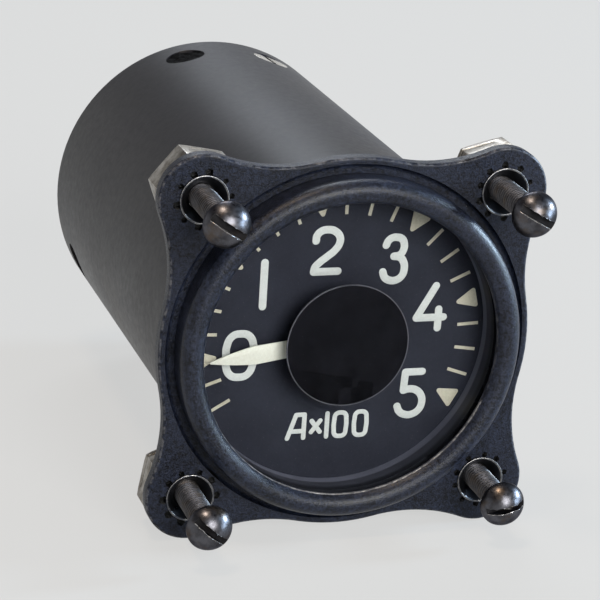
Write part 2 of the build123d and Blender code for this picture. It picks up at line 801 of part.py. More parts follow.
make_base_screw("bare_base_screw", bare_screw_angles, tube_radius, bare_screw_sink)
make_base_screw("sealed_base_screws", sealed_screw_angles, tube_radius - seal_depth, 0)

# Sealing compound over the recessed screws
with BuildPart() as screw_seals:
    for angle in sealed_screw_angles:
        with BuildSketch(outward(angle, tube_radius - seal_depth, base_screw_plane)):
            Circle(base_screw_head)
        extrude(amount=seal_depth - seal_recess)
write(screw_seals, "screw_seals")

# Terminals
with BuildPart() as terminal_studs:
    with BuildSketch(facing(base_web_front)):
        with GridLocations(terminal_spacing, 1, 2, 1):
            Circle(stud_head_radius)
    extrude(amount=stud_head_height)
    with BuildSketch(facing(base_web_front)):
        with GridLocations(terminal_spacing, 1, 2, 1):
            Circle(stud_radius)
    extrude(amount=-(base_web + boss_height + stud_projection))
    chamfer(terminal_studs.edges().group_by(Axis.Y)[-1], stud_chamfer)
write(terminal_studs, "terminal_studs")

with BuildPart() as terminal_washers:
    with BuildSketch(facing(boss_face)):
        with GridLocations(terminal_spacing, 1, 2, 1):
            Circle(washer_radius)
            Circle(stud_radius + fit, mode=Mode.SUBTRACT)
    extrude(amount=-washer_thickness)
write(terminal_washers, "terminal_washers")

with BuildPart() as terminal_nuts:
    with BuildSketch(facing(boss_face + washer_thickness)):
        with GridLocations(terminal_spacing, 1, 2, 1):
            RegularPolygon(terminal_nut_flats / 2, 6, major_radius=False, rotation=terminal_nut_turn)
            Circle(stud_radius + fit, mode=Mode.SUBTRACT)
    extrude(amount=-terminal_nut_thickness)
write(terminal_nuts, "terminal_nuts")

# Swamping resistor on the inside of the base
bobbin_front = base_web_front - bobbin_length
with BuildPart() as resistor_bobbin:
    for y in (bobbin_front, base_web_front - bobbin_flange_thickness):
        with BuildSketch(facing_at(0, y, bobbin_height)):
            Circle(bobbin_flange)
        extrude(amount=-bobbin_flange_thickness)
    with BuildSketch(facing_at(0, bobbin_front, bobbin_height)):
        Circle(bobbin_core)
    extrude(amount=-bobbin_length)
write(resistor_bobbin, "resistor_bobbin")

with BuildPart() as resistor_winding:
    with BuildSketch(facing_at(0, bobbin_front + bobbin_flange_thickness + press_gap, bobbin_height)):
        Circle(winding_radius)
        Circle(bobbin_core + press_gap, mode=Mode.SUBTRACT)
    extrude(amount=-(bobbin_length - 2 * bobbin_flange_thickness - 2 * press_gap))
write(resistor_winding, "resistor_winding")


def make_lead(name, points, bend):
    """Insulated wire along straight runs joined by round bends."""
    with BuildPart() as lead:
        with BuildLine() as route:
            FilletPolyline(*points, radius=bend)
        with BuildSketch(Plane(origin=route.line @ 0, z_dir=route.line % 0)):
            Circle(lead_radius)
        sweep(path=route.line)
    write(lead, name)


stud_x = terminal_spacing / 2
stud_front = base_web_front - stud_head_height
tag_z = -cock_leg_inner - tag_thickness / 2
bridge_end_x = -bridge_span + bridge_foot / 2
make_lead(
    "supply_lead",
    (
        (stud_x, stud_front, 0),
        (stud_x, bobbin_front - supply_loop, 0),
        (bobbin_joint, bobbin_front - supply_loop, bobbin_height + bobbin_joint),
        (bobbin_joint, bobbin_front, bobbin_height + bobbin_joint),
    ),
    supply_bend,
)
make_lead(
    "spring_lead",
    (
        (0, bobbin_front, bobbin_height - bobbin_joint),
        (0, bobbin_front - lead_run_length, bobbin_height - bobbin_joint),
        (0, tag_back + lead_run_length, tag_z),
        (0, tag_back, tag_z),
    ),
    lead_bend,
)
make_lead(
    "frame_lead",
    (
        (-stud_x, stud_front, 0),
        (-stud_x, stud_front - 2 * lead_run_length, 0),
        (bridge_end_x, bridge_back + lead_run_length, 0),
        (bridge_end_x, bridge_back, 0),
    ),
    lead_bend,
)

# Moving system, at the angle where the pointer reads 0
staff_front = front_cup_floor + pivot_clearance
staff_back = rear_cup_floor - pivot_clearance
with BuildPart() as staff:
    with BuildSketch(facing(staff_front)):
        Circle(pivot_radius)
    extrude(amount=-(staff_back - staff_front))
    with BuildSketch(facing(staff_front + pivot_length)):
        Circle(staff_radius)
    extrude(amount=-(staff_back - staff_front - 2 * pivot_length))
write(staff, "staff")

pointer_front = front_jewel_start + jewel_length + pointer_gap
collet_back = front_spring_plane + spring_width
with BuildPart() as pointer:
    with BuildSketch(turned(pointer_front, zero_angle)):
        with BuildLine():
            Line((0, 0), (0, pointer_root / 2))
            Line((0, pointer_root / 2), (pointer_shoulder, pointer_half_width))
            ThreePointArc(
                (pointer_shoulder, pointer_half_width),
                pointer_waist,
                (pointer_reach, pointer_tip_width / 2),
            )
            Line((pointer_reach, pointer_tip_width / 2), (pointer_reach, 0))
            mirror(about=Plane.XZ)
        make_face()
        Circle(pointer_root)
        Circle(staff_radius + press_gap, mode=Mode.SUBTRACT)
    extrude(amount=-pointer_thickness)
write(pointer, "pointer")

with BuildPart() as pointer_collet:
    with BuildSketch(facing(pointer_front + pointer_thickness)):
        Circle(collet_radius)
        Circle(staff_radius + press_gap, mode=Mode.SUBTRACT)
    extrude(amount=-(collet_back - pointer_front - pointer_thickness))
write(pointer_collet, "pointer_collet")

coil_front = pole_front - coil_gap - coil_thickness
coil_back = pole_back + coil_gap + coil_thickness
coil_middle = (coil_front + coil_back) / 2
coil_height = coil_back - coil_front
coil_reach = coil_outer - coil_inner
coil_centre = (coil_inner + coil_outer) / 2
with BuildPart() as moving_coil:
    with BuildSketch(radial_section(zero_angle)):
        with Locations((coil_centre, coil_middle)):
            RectangleRounded(coil_reach, coil_height, coil_corner)
            Rectangle(coil_reach - 2 * coil_thickness, coil_height - 2 * coil_thickness, mode=Mode.SUBTRACT)
    extrude(amount=coil_width / 2, both=True)
write(moving_coil, "moving_coil")

with BuildPart() as coil_former:
    window_reach = coil_reach - 2 * coil_thickness - 2 * press_gap
    window_height = coil_height - 2 * coil_thickness - 2 * press_gap
    with BuildSketch(radial_section(zero_angle)):
        with Locations((coil_centre, coil_middle)):
            Rectangle(window_reach, window_height)
            Rectangle(
                window_reach - 2 * former_thickness,
                window_height - 2 * former_thickness,
                mode=Mode.SUBTRACT,
            )
    extrude(amount=former_width / 2, both=True)
write(coil_former, "coil_former")


def make_bracket(name, front):
    """Clip that joins the staff to one leg of the coil."""
    with BuildPart() as bracket:
        with BuildSketch(turned(front, zero_angle)):
            Rectangle(bracket_reach, bracket_width, align=(Align.MIN, Align.CENTER))
            Circle(bracket_hub_radius)
            Circle(staff_radius + press_gap, mode=Mode.SUBTRACT)
        extrude(amount=-bracket_thickness)
    write(bracket, name)


make_bracket("front_coil_bracket", coil_front - bracket_thickness)
make_bracket("rear_coil_bracket", coil_back)

balance_side = zero_angle + 180
with BuildPart() as balance_arm:
    with BuildSketch(facing(balance_plane - bracket_hub_radius / 2)):
        Circle(bracket_hub_radius)
    extrude(amount=-bracket_hub_radius)
    with BuildSketch(outward(balance_side, 0, balance_plane)):
        Circle(balance_rod_radius)
    extrude(amount=balance_rod_reach)
    with BuildSketch(facing(0)):
        Circle(staff_radius + press_gap)
    extrude(amount=-pole_front, mode=Mode.SUBTRACT)
write(balance_arm, "balance_arm")

with BuildPart() as balance_weight:
    with BuildSketch(outward(balance_side, balance_weight_start, balance_plane)):
        Circle(balance_weight_radius)
        Circle(balance_rod_radius + press_gap, mode=Mode.SUBTRACT)
    extrude(amount=balance_weight_length)
write(balance_weight, "balance_weight")
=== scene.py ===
import bpy, bmesh, json, math, random
from mathutils import Matrix, Vector, noise


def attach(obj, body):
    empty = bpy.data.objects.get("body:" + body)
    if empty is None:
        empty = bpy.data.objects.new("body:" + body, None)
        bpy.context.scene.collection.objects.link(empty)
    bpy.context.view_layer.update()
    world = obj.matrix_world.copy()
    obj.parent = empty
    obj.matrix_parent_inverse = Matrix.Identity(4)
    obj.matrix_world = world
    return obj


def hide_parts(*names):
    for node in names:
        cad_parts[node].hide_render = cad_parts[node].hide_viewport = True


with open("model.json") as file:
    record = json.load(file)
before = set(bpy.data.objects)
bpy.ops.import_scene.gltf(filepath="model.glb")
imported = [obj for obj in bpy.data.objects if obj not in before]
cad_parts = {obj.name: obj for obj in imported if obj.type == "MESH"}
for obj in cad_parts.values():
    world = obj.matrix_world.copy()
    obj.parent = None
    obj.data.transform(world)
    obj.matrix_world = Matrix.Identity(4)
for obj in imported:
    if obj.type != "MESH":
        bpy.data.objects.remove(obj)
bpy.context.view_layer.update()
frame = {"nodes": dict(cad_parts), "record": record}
mm = 0.001  # shapes are worked in millimetres and scaled at the end
weld = {"distance": 0.002, "pole": 0.0005}
print("frame loaded:", len(frame["nodes"]), "nodes")


# small helpers for shapes

def moved(x, y, z):
    return Matrix.Translation((x, y, z))


def turned(degrees, axis, size=4):
    return Matrix.Rotation(math.radians(degrees), size, axis)


def newObject(name, data):
    thing = bpy.data.objects.new(name, data)
    bpy.context.scene.collection.objects.link(thing)
    return thing


def asMesh(shape, name="passing"):
    mesh = bpy.data.meshes.new(name)
    shape.to_mesh(mesh)
    shape.free()
    return mesh


def joinFlat(shape, degrees):
    bmesh.ops.dissolve_limit(shape, angle_limit=math.radians(degrees), verts=shape.verts,
                             edges=shape.edges)


def mergedCopy(node):
    # a welded copy of a CAD node, its flat faces joined again
    shape = bmesh.new()
    shape.from_mesh(frame["nodes"][node].data)
    bmesh.ops.scale(shape, vec=(1 / mm, 1 / mm, 1 / mm), verts=shape.verts)
    bmesh.ops.remove_doubles(shape, verts=shape.verts, dist=weld["distance"])
    joinFlat(shape, degrees=0.4)
    return shape


def floatLayer(layers, name):
    return layers.float.get(name) or layers.float.new(name)


def wearAndHighlightLayer(shape):
    return floatLayer(shape.verts.layers, "wearAndHighlight")


def markShadeAndGrime(shape, amount):
    # painted shade and dirt that each face holds, by its middle and its normal
    layer = floatLayer(shape.faces.layers, "shadeAndGrime")
    for face in shape.faces:
        face[layer] = float(amount(face.calc_center_median(), face.normal))


def bevelSharp(shape, width, angle, keep=None):
    # rounds the convex sharp edges and marks the middle of each round as worn
    layer = wearAndHighlightLayer(shape)
    edges = [e for e in shape.edges if e.is_manifold and e.is_convex
             and e.calc_face_angle() > math.radians(angle) and (keep is None or keep(e))]
    made = bmesh.ops.bevel(shape, geom=edges, offset=width, offset_type="OFFSET", affect="EDGES",
                           segments=2, profile=0.5, clamp_overlap=True, material=-1)
    band = set(made["faces"])
    for v in made["verts"]:
        if v.is_valid and all(f in band for f in v.link_faces):
            v[layer] = 1.0


def spunAboutY(outline, steps, closed=True):
    # turns an outline of (radius, y) points about the Y axis
    shape = bmesh.new()
    points = [shape.verts.new((r, y, 0)) for r, y in outline]
    pairs = zip(points, points[1:] + points[:1]) if closed else zip(points, points[1:])
    edges = [shape.edges.new(pair) for pair in pairs]
    bmesh.ops.spin(shape, geom=points + edges, cent=(0, 0, 0), axis=(0, 1, 0), angle=math.tau,
                   steps=steps, use_merge=True)
    bmesh.ops.remove_doubles(shape, verts=shape.verts, dist=weld["pole"])
    bmesh.ops.recalc_face_normals(shape, faces=shape.faces)
    return shape


def arcPoints(cx, cy, radius, startDeg, endDeg, count):
    angles = [math.radians(startDeg + (endDeg - startDeg) * i / (count - 1)) for i in range(count)]
    return [(cx + radius * math.cos(angle), cy + radius * math.sin(angle)) for angle in angles]


def helixRidge(profile, pitch, turns, stepsPerTurn):
    # sweeps a small closed profile of (radius, y) points along a right-handed helix about Y
    ridge = bmesh.new()
    points = [ridge.verts.new((r, y, 0)) for r, y in profile]
    edges = [ridge.edges.new(pair) for pair in zip(points, points[1:] + points[:1])]
    ridge.faces.new(points)
    made = bmesh.ops.spin(ridge, geom=points + edges, cent=(0, 0, 0), axis=(0, 1, 0),
                          dvec=(0, pitch / stepsPerTurn, 0), angle=math.tau * turns,
                          steps=int(turns * stepsPerTurn))
    lastEdges = [g for g in made["geom_last"] if isinstance(g, bmesh.types.BMEdge)]
    bmesh.ops.contextual_create(ridge, geom=lastEdges)
    bmesh.ops.recalc_face_normals(ridge, faces=ridge.faces)
    return ridge


def joinShape(target, other):
    # adds one bmesh to another, with the wear, painted highlight, painted shade and dirt that it
    # carries
    mesh = asMesh(other)
    target.from_mesh(mesh)
    bpy.data.meshes.remove(mesh)


def cutAway(shape, cutter):
    # takes the cutter's shape out of the first one with an exact Boolean
    target, tool = [newObject("passing", asMesh(source)) for source in (shape, cutter)]
    cut = target.modifiers.new("cut", "BOOLEAN")
    cut.operation = "DIFFERENCE"
    cut.solver = "EXACT"
    cut.object = tool
    bpy.context.view_layer.update()
    evaluated = target.evaluated_get(bpy.context.evaluated_depsgraph_get())
    result = bmesh.new()
    result.from_mesh(bpy.data.meshes.new_from_object(evaluated))
    for thing in (target, tool):
        bpy.data.objects.remove(thing)
    return result


def asPiece(shape, name, body, slotName, replaced=(), sharp=32, finish=None):
    bmesh.ops.scale(shape, vec=(mm, mm, mm), verts=shape.verts)
    mesh = asMesh(shape, name)
    piece = newObject(name, mesh)
    mesh.materials.append(finish or finishes[slotName])
    mesh.shade_smooth()
    mesh.set_sharp_from_angle(angle=math.radians(sharp))
    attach(piece, body)
    if replaced:
        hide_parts(*replaced)
    return piece


def trueNormals(piece, radii=()):
    # flat faces shade flat, and faces of a cylinder about the Y axis shade as that cylinder
    near, facing, flat = 0.03 * mm, 0.97, 0.9995
    mesh = piece.data
    normals = [n.vector.copy() for n in mesh.corner_normals]
    for face in mesh.polygons:
        for loop in face.loop_indices:
            place = mesh.vertices[mesh.loops[loop].vertex_index].co
            outward = Vector((place.x, 0, place.z))
            onRound = any(abs(outward.length - radius * mm) < near for radius in radii)
            if onRound and abs(face.normal.dot(outward.normalized())) > facing:
                normals[loop] = outward.normalized() * (1 if face.normal.dot(outward) > 0 else -1)
            elif abs(face.normal.y) > flat:
                normals[loop] = face.normal.copy()
    mesh.normals_split_custom_set(normals)


# small helpers for finishes

def setInputs(node, inputs):
    # numbers and colours are set on the socket itself, and sockets are linked to it
    for name, value in inputs.items():
        socket = node.inputs[name]
        if isinstance(value, bpy.types.NodeSocket):
            node.id_data.links.new(value, socket)
        elif socket.type == "RGBA" and len(value) == 3:
            socket.default_value = (*value, 1)
        else:
            socket.default_value = value


def addNode(tree, kind, inputs):
    node = tree.nodes.new("ShaderNode" + kind)
    setInputs(node, inputs)
    return node


def newFinish(name, roughness, metallic=0.0):
    finish = bpy.data.materials.new(name)
    finish.use_nodes = True
    tree = finish.node_tree
    shader = tree.nodes["Principled BSDF"]
    setInputs(shader, {"Roughness": roughness, "Metallic": metallic})
    return finish, tree, shader, addNode(tree, "TexCoord", {}).outputs["Object"]


def noiseOut(tree, coords, size, detail=3, rough=0.55, stretch=None):
    # noise with features of about this size in millimetres
    if stretch:
        coords = addNode(tree, "Mapping", {"Vector": coords, "Scale": stretch}).outputs["Vector"]
    texture = addNode(tree, "TexNoise", {"Vector": coords, "Scale": 1000 / size, "Detail": detail,
                                         "Roughness": rough})
    return texture.outputs["Fac"]


def ramp(tree, value, stops):
    node = addNode(tree, "ValToRGB", {"Fac": value})
    for element, (place, colour) in zip(node.color_ramp.elements, stops):
        element.position = place
        element.color = (*colour, 1)
    return node.outputs["Color"]


def remap(tree, value, low, high, outLow=0.0, outHigh=1.0, smooth=False):
    node = addNode(tree, "MapRange", {"Value": value, "From Min": low, "From Max": high,
                                      "To Min": outLow, "To Max": outHigh})
    node.interpolation_type = "SMOOTHSTEP" if smooth else "LINEAR"
    return node.outputs["Result"]


def between(tree, place, ends, smooth=True):
    # rises from 0 to 1 between two places given in millimetres
    return remap(tree, place, ends[0] * mm, ends[1] * mm, smooth=smooth)


def mathNode(tree, operation, a, b=None):
    node = addNode(tree, "Math", {0: a} if b is None else {0: a, 1: b})
    node.operation = operation
    return node.outputs[0]


def times(tree, a, b):
    return mathNode(tree, "MULTIPLY", a, b)


def weighted(tree, *parts):
    # values added up, each by its share
    total = None
    for value, share in parts:
        scaled = times(tree, value, share)
        total = scaled if total is None else mathNode(tree, "ADD", total, scaled)
    return total


def blendColour(tree, factor, a, b):
    node = tree.nodes.new("ShaderNodeMix")
    node.data_type = "RGBA"
    setInputs(node, {"Factor": factor, 6: a, 7: b})  # 6 and 7 are its two colours
    return node.outputs[2]


def bumpFrom(tree, shader, height, depth, strength):
    bump = addNode(tree, "Bump", {"Height": height, "Distance": depth * mm, "Strength": strength})
    setInputs(shader, {"Normal": bump.outputs["Normal"]})


def attributeValue(tree, name):
    node = tree.nodes.new("ShaderNodeAttribute")
    node.attribute_name = name
    return node.outputs["Fac"]


def splitCoords(tree, coords):
    return addNode(tree, "SeparateXYZ", {"Vector": coords}).outputs


def unevenGloss(tree, value, roughness, less, more):
    # roughness that follows a noise from a little less to a little more
    return remap(tree, value, 0.3, 0.7, roughness - less, roughness + more)


def surfaceFromMix(tree, output, factor, first, second):
    mixed = addNode(tree, "MixShader", {"Fac": factor, 1: first.outputs[0], 2: second.outputs[0]})
    setInputs(tree.nodes[output], {"Surface": mixed.outputs[0]})


# finishes: colours, then sizes and depths in millimetres, then the gloss

castFinish = {
    "dark": (0.0010, 0.0014, 0.0035),
    "light": (0.015, 0.0195, 0.036),
    "worn": (0.14, 0.14, 0.15),
    # colour of the painted highlight on the bezel lip
    "paintedHighlight": (0.34, 0.34, 0.35),
    # near black for faces that carry painted shade
    "shadeBlack": (0.002, 0.002, 0.002),
    "patchSize": 5.0, "mottleSize": 0.7, "grainSize": 0.27,
    "grainDepth": 0.09, "rubSize": 1.1, "speckSize": 0.28, "speckArea": 9.0,
    "roughness": 0.40, "specular": 0.20,
}
bezelFinish = {**castFinish, "grainDepth": 0.07, "roughness": 0.36, "specular": 0.29}


def sandblastedBlack(name, part):
    # blackened, sand-blasted metal with a fine mottle
    finish, tree, shader, coords = newFinish(name, part["roughness"])
    patches = noiseOut(tree, coords, part["patchSize"], 4)
    mottle = noiseOut(tree, coords, part["mottleSize"], 3, 0.6)
    grain = noiseOut(tree, coords, part["grainSize"], 2, 0.6)
    tone = weighted(tree, (patches, 0.2), (mottle, 0.4), (grain, 0.4))
    colour = ramp(tree, tone, [(0.42, part["dark"]), (0.60, part["light"])])
    # faces that carry painted shade go nearly black
    colour = blendColour(tree, attributeValue(tree, "shadeAndGrime"), colour, part["shadeBlack"])
    # an edge with a wear of 1 is rubbed in places, and one with 2 is painted bright as a highlight
    rubs = remap(tree, noiseOut(tree, coords, part["rubSize"], 4, 0.7), 0.46, 0.66)
    edge = attributeValue(tree, "wearAndHighlight")
    worn = times(tree, mathNode(tree, "MINIMUM", edge, 1), rubs)
    paintedHighlight = times(tree, remap(tree, edge, 1.1, 1.9), remap(tree, rubs, 0.0, 0.6, 0.25, 1))
    # pale specks stand in loose groups
    specks = remap(tree, noiseOut(tree, coords, part["speckSize"], 1, 0.5), 0.735, 0.78)
    groups = remap(tree, noiseOut(tree, coords, part["speckArea"], 2), 0.5, 0.62)
    worn = mathNode(tree, "MAXIMUM", worn, times(tree, specks, times(tree, groups, 0.6)))
    colour = blendColour(tree, paintedHighlight, blendColour(tree, worn, colour, part["worn"]),
                         part["paintedHighlight"])
    setInputs(shader, {
        "Base Color": colour,
        "Metallic": remap(tree, worn, 0, 1, 0.0, 0.8),
        "Roughness": unevenGloss(tree, grain, part["roughness"], 0.08, 0.12),
        "Specular IOR Level": part["specular"],
    })
    bumpFrom(tree, shader, grain, part["grainDepth"], 0.9)
    return finish


tubeFinish = {
    "dark": (0.007, 0.007, 0.0095),
    "light": (0.014, 0.014, 0.018),
    # brown of the painted warm reflection low down
    "brown": (0.028, 0.022, 0.016),
    "dust": (0.16, 0.15, 0.14),
    "rubbed": (0.16, 0.155, 0.15),
    "cloudSize": 22.0, "fineSize": 1.1, "stainSize": 14.0,
    "warmReflectionHeights": (12.0, -24.0),  # the brown comes in between these: patches painted as a warm reflection on the lower side
    "dustSize": 0.5,
    "rimFrom": (85.6, 86.1),  # the rear rim is rubbed from here on
    "rimSize": 2.6, "grainSize": 0.22, "grainDepth": 0.012,
    "roughness": 0.37, "specular": 0.16,
}


def satinTube(name, part):
    # smooth blackened tube, with brown patches low down painted as a warm reflection, dust specks
    # and a rubbed rear rim
    finish, tree, shader, coords = newFinish(name, part["roughness"])
    along, height = splitCoords(tree, coords)[1:]
    clouds = noiseOut(tree, coords, part["cloudSize"], 3)
    fine = noiseOut(tree, coords, part["fineSize"], 3, 0.6)
    tone = weighted(tree, (clouds, 0.7), (fine, 0.3))
    colour = ramp(tree, tone, [(0.38, part["dark"]), (0.62, part["light"])])
    # brown patches on the lower side, painted as a warm reflection
    stain = times(tree, between(tree, height, part["warmReflectionHeights"]),
                  remap(tree, noiseOut(tree, coords, part["stainSize"], 2), 0.35, 0.7))
    colour = blendColour(tree, stain, colour, part["brown"])
    dust = remap(tree, noiseOut(tree, coords, part["dustSize"], 1, 0.5), 0.76, 0.80)
    colour = blendColour(tree, times(tree, dust, 0.3), colour, part["dust"])
    rim = times(tree, between(tree, along, part["rimFrom"]),
                remap(tree, noiseOut(tree, coords, part["rimSize"], 5, 0.75), 0.45, 0.75, 0, 0.45))
    colour = blendColour(tree, rim, colour, part["rubbed"])
    gloss = weighted(tree, (fine, 0.6), (clouds, 0.4))
    setInputs(shader, {
        "Base Color": colour,
        "Roughness": unevenGloss(tree, gloss, part["roughness"], 0.05, 0.09),
        "Specular IOR Level": part["specular"],
    })
    grain = noiseOut(tree, coords, part["grainSize"], 2, 0.6)
    bumpFrom(tree, shader, grain, part["grainDepth"], 0.5)
    return finish


screwFinish = {
    "steel": (0.105, 0.105, 0.118),
    "dark": (0.052, 0.051, 0.056),
    "brown": (0.090, 0.068, 0.050),
    "bare": (0.50, 0.47, 0.44),
    # bright burr colour, a painted glint along the slot's lower edge
    "burr": (0.85, 0.86, 0.90),
    # near black for painted shade in the slots, also darkening the thread
    "shadeAndGrime": (0.006, 0.0055, 0.005),
    "edgeTint": (0.45, 0.45, 0.47),
    "smearSize": 1.6, "stainSize": 2.6, "nickSize": 0.5, "burrSize": 0.9,
    "nickDepth": 0.02, "roughness": 0.30,
}


def burnishedSteel(name, part):
    # blackened steel, rubbed shiny, with bare edges and a little brown
    finish, tree, shader, coords = newFinish(name, part["roughness"], 1.0)
    smears = noiseOut(tree, coords, part["smearSize"], 4, 0.6)
    colour = ramp(tree, smears, [(0.35, part["dark"]), (0.6, part["steel"])])
    stain = remap(tree, noiseOut(tree, coords, part["stainSize"], 3), 0.52, 0.68, 0, 0.7)
    colour = blendColour(tree, stain, colour, part["brown"])
    # a wear of 1 is bare in places, and one of 2 is a bright burr with a painted glint
    wearAndHighlight = attributeValue(tree, "wearAndHighlight")
    nicks = remap(tree, noiseOut(tree, coords, part["nickSize"], 3, 0.7), 0.25, 0.52)
    bare = times(tree, mathNode(tree, "MINIMUM", wearAndHighlight, 1), nicks)
    colour = blendColour(tree, bare, colour, part["bare"])
    broken = remap(tree, noiseOut(tree, coords, part["burrSize"], 4, 0.75), 0.42, 0.52, 0.3, 1)
    burrsAndGlints = times(tree, remap(tree, wearAndHighlight, 1.0, 1.9), broken)
    colour = blendColour(tree, burrsAndGlints, colour, part["burr"])
    # painted shade in the slots, and a darker tone on the thread
    shadeAndGrime = attributeValue(tree, "shadeAndGrime")
    colour = blendColour(tree, shadeAndGrime, colour, part["shadeAndGrime"])
    rubs = noiseOut(tree, coords, part["nickSize"], 3, 0.65)
    gloss = unevenGloss(tree, rubs, part["roughness"], 0.05, 0.12)
    setInputs(shader, {
        "Base Color": colour,
        "Specular Tint": part["edgeTint"],
        "Roughness": mathNode(tree, "ADD", gloss, remap(tree, shadeAndGrime, 0, 1, 0, 0.3)),
    })
    dents = noiseOut(tree, coords, part["nickSize"], 4, 0.6)
    bumpFrom(tree, shader, dents, part["nickDepth"], 0.4)
    return finish


nutFinish = {
    "silver": (0.29, 0.27, 0.24),
    "tarnish": (0.14, 0.12, 0.095),
    "collar": (0.085, 0.09, 0.105),
    "bare": (0.50, 0.48, 0.45),
    "collarTo": (2.4, 1.9),  # the nut is blackened in front of these
    "stainSize": 1.8, "rubSize": 0.7, "grainSize": 0.35, "grainDepth": 0.03,
    "roughness": 0.33,
}


def nutSteel(name, part):
    # warm silver nut whose collar, seen through the lobe, is blackened
    finish, tree, shader, coords = newFinish(name, part["roughness"], 1.0)
    stains = noiseOut(tree, coords, part["stainSize"], 4, 0.65)
    colour = ramp(tree, stains, [(0.36, part["tarnish"]), (0.6, part["silver"])])
    front = between(tree, splitCoords(tree, coords)[1], part["collarTo"], smooth=False)
    colour = blendColour(tree, front, colour, part["collar"])
    rubs = remap(tree, noiseOut(tree, coords, part["rubSize"], 3, 0.7), 0.38, 0.56)
    bare = times(tree, attributeValue(tree, "wearAndHighlight"), rubs)
    setInputs(shader, {
        "Base Color": blendColour(tree, bare, colour, part["bare"]),
        "Roughness": unevenGloss(tree, stains, part["roughness"], -0.12, -0.06),
    })
    grain = noiseOut(tree, coords, part["grainSize"], 3, 0.6)
    bumpFrom(tree, shader, grain, part["grainDepth"], 0.4)
    return finish


def plainMetal(name, light, dark, roughness, size=1.5, markSize=0.25, depth=0.015, stretch=None):
    # machined metal with a faint change of tone and turning or milling marks
    finish, tree, shader, coords = newFinish(name, roughness, 1.0)
    tone = noiseOut(tree, coords, size, 4, 0.6)
    marks = noiseOut(tree, coords, markSize, 2, 0.6, stretch)
    setInputs(shader, {
        "Base Color": ramp(tree, tone, [(0.35, dark), (0.62, light)]),
        "Roughness": unevenGloss(tree, marks, roughness, 0.06, 0.1),
    })
    bumpFrom(tree, shader, marks, depth, 0.4)
    return finish


def moulded(name, light, dark, roughness=0.6, grainSize=0.3, cloudSize=6.0, depth=0.02,
            specular=0.5):
    # moulded, painted or rubbery surface with a fine grain
    finish, tree, shader, coords = newFinish(name, roughness)
    clouds = noiseOut(tree, coords, cloudSize, 3)
    grain = noiseOut(tree, coords, grainSize, 3, 0.6)
    tone = weighted(tree, (clouds, 0.5), (grain, 0.5))
    setInputs(shader, {
        "Base Color": ramp(tree, tone, [(0.38, dark), (0.62, light)]),
        "Roughness": unevenGloss(tree, grain, roughness, 0.06, 0.08),
        "Specular IOR Level": specular,
    })
    bumpFrom(tree, shader, grain, depth, 0.5)
    return finish


def woundWire(name, light, dark, wireSize, axis):
    # wire wound in turns side by side, one band of the wave for each turn
    finish, tree, shader, coords = newFinish(name, roughness=0.35, metallic=0.6)
    wave = addNode(tree, "TexWave", {"Vector": coords, "Scale": 100 * math.pi / wireSize,
                                     "Distortion": 0.4, "Detail Scale": 1.5})
    wave.bands_direction = axis
    turns = wave.outputs["Fac"]
    setInputs(shader, {"Base Color": ramp(tree, turns, [(0.2, dark), (0.8, light)])})
    bumpFrom(tree, shader, turns, wireSize * 0.5, 0.8)
    return finish


windowFinish = {
    "glass": (0.955, 0.965, 0.965),
    "index": 1.45,
    "coating": 3,  # power on the Fresnel: the higher, the less it mirrors seen from in front
    "smudgeSize": 9.0,
    "smudges": (1.1, 1.5),
    "roughness": 0.03,
}


def clearWindow(name, part):
    # flat glass that lets lamp light through to the dial and mirrors only towards a glancing view
    finish, tree, shader, coords = newFinish(name, part["roughness"])
    tree.nodes.remove(shader)
    clear = addNode(tree, "BsdfTransparent", {"Color": part["glass"]})
    mirror = addNode(tree, "BsdfGlossy", {"Roughness": part["roughness"]})
    fresnel = addNode(tree, "Fresnel", {"IOR": part["index"]}).outputs["Fac"]
    smudge = remap(tree, noiseOut(tree, coords, part["smudgeSize"], 3), 0.4, 0.7, *part["smudges"])
    glancing = mathNode(tree, "POWER", fresnel, part["coating"])
    surfaceFromMix(tree, "Material Output", times(tree, glancing, smudge), clear, mirror)
    return finish


maskFinish = {
    "dark": (0.004, 0.004, 0.006),
    "light": (0.007, 0.007, 0.010),
    # lighter colour of the painted reflection at the disc's edge
    "rim": (0.12, 0.12, 0.14),
    "rimFrom": (9.52, 9.6),
    "toneSize": 4.0, "rippleSize": 3.0, "rippleDepth": 0.01,
    "roughness": 0.12, "specular": 0.08,
}


def hubLacquer(name, part):
    # glossy black disc with a thin lighter line at its rim, a painted reflection of its edge
    finish, tree, shader, coords = newFinish(name, part["roughness"])
    x, y, z = splitCoords(tree, coords)
    radius = mathNode(tree, "SQRT", mathNode(tree, "ADD", times(tree, x, x), times(tree, z, z)))
    rim = between(tree, radius, part["rimFrom"], smooth=False)
    tone = ramp(tree, noiseOut(tree, coords, part["toneSize"], 3),
                [(0.35, part["dark"]), (0.65, part["light"])])
    setInputs(shader, {
        "Base Color": blendColour(tree, rim, tone, part["rim"]),
        "Specular IOR Level": part["specular"],
    })
    bumpFrom(tree, shader, noiseOut(tree, coords, part["rippleSize"], 2), part["rippleDepth"], 0.3)
    return finish


spacerFinish = {
    "dark": (0.053, 0.055, 0.072),
    "light": (0.066, 0.068, 0.090),
    "front": (0.017, 0.018, 0.024),
    "band": (0.18, 0.185, 0.24),
    "shadeTo": (1.4, 0.2),
    "paintedLightFrom": (2.5, 3.0),
    "toneSize": 5.0, "breakSize": 7.0, "grainSize": 0.4, "grainDepth": 0.02,
    "roughness": 0.5, "specular": 0.2,
}


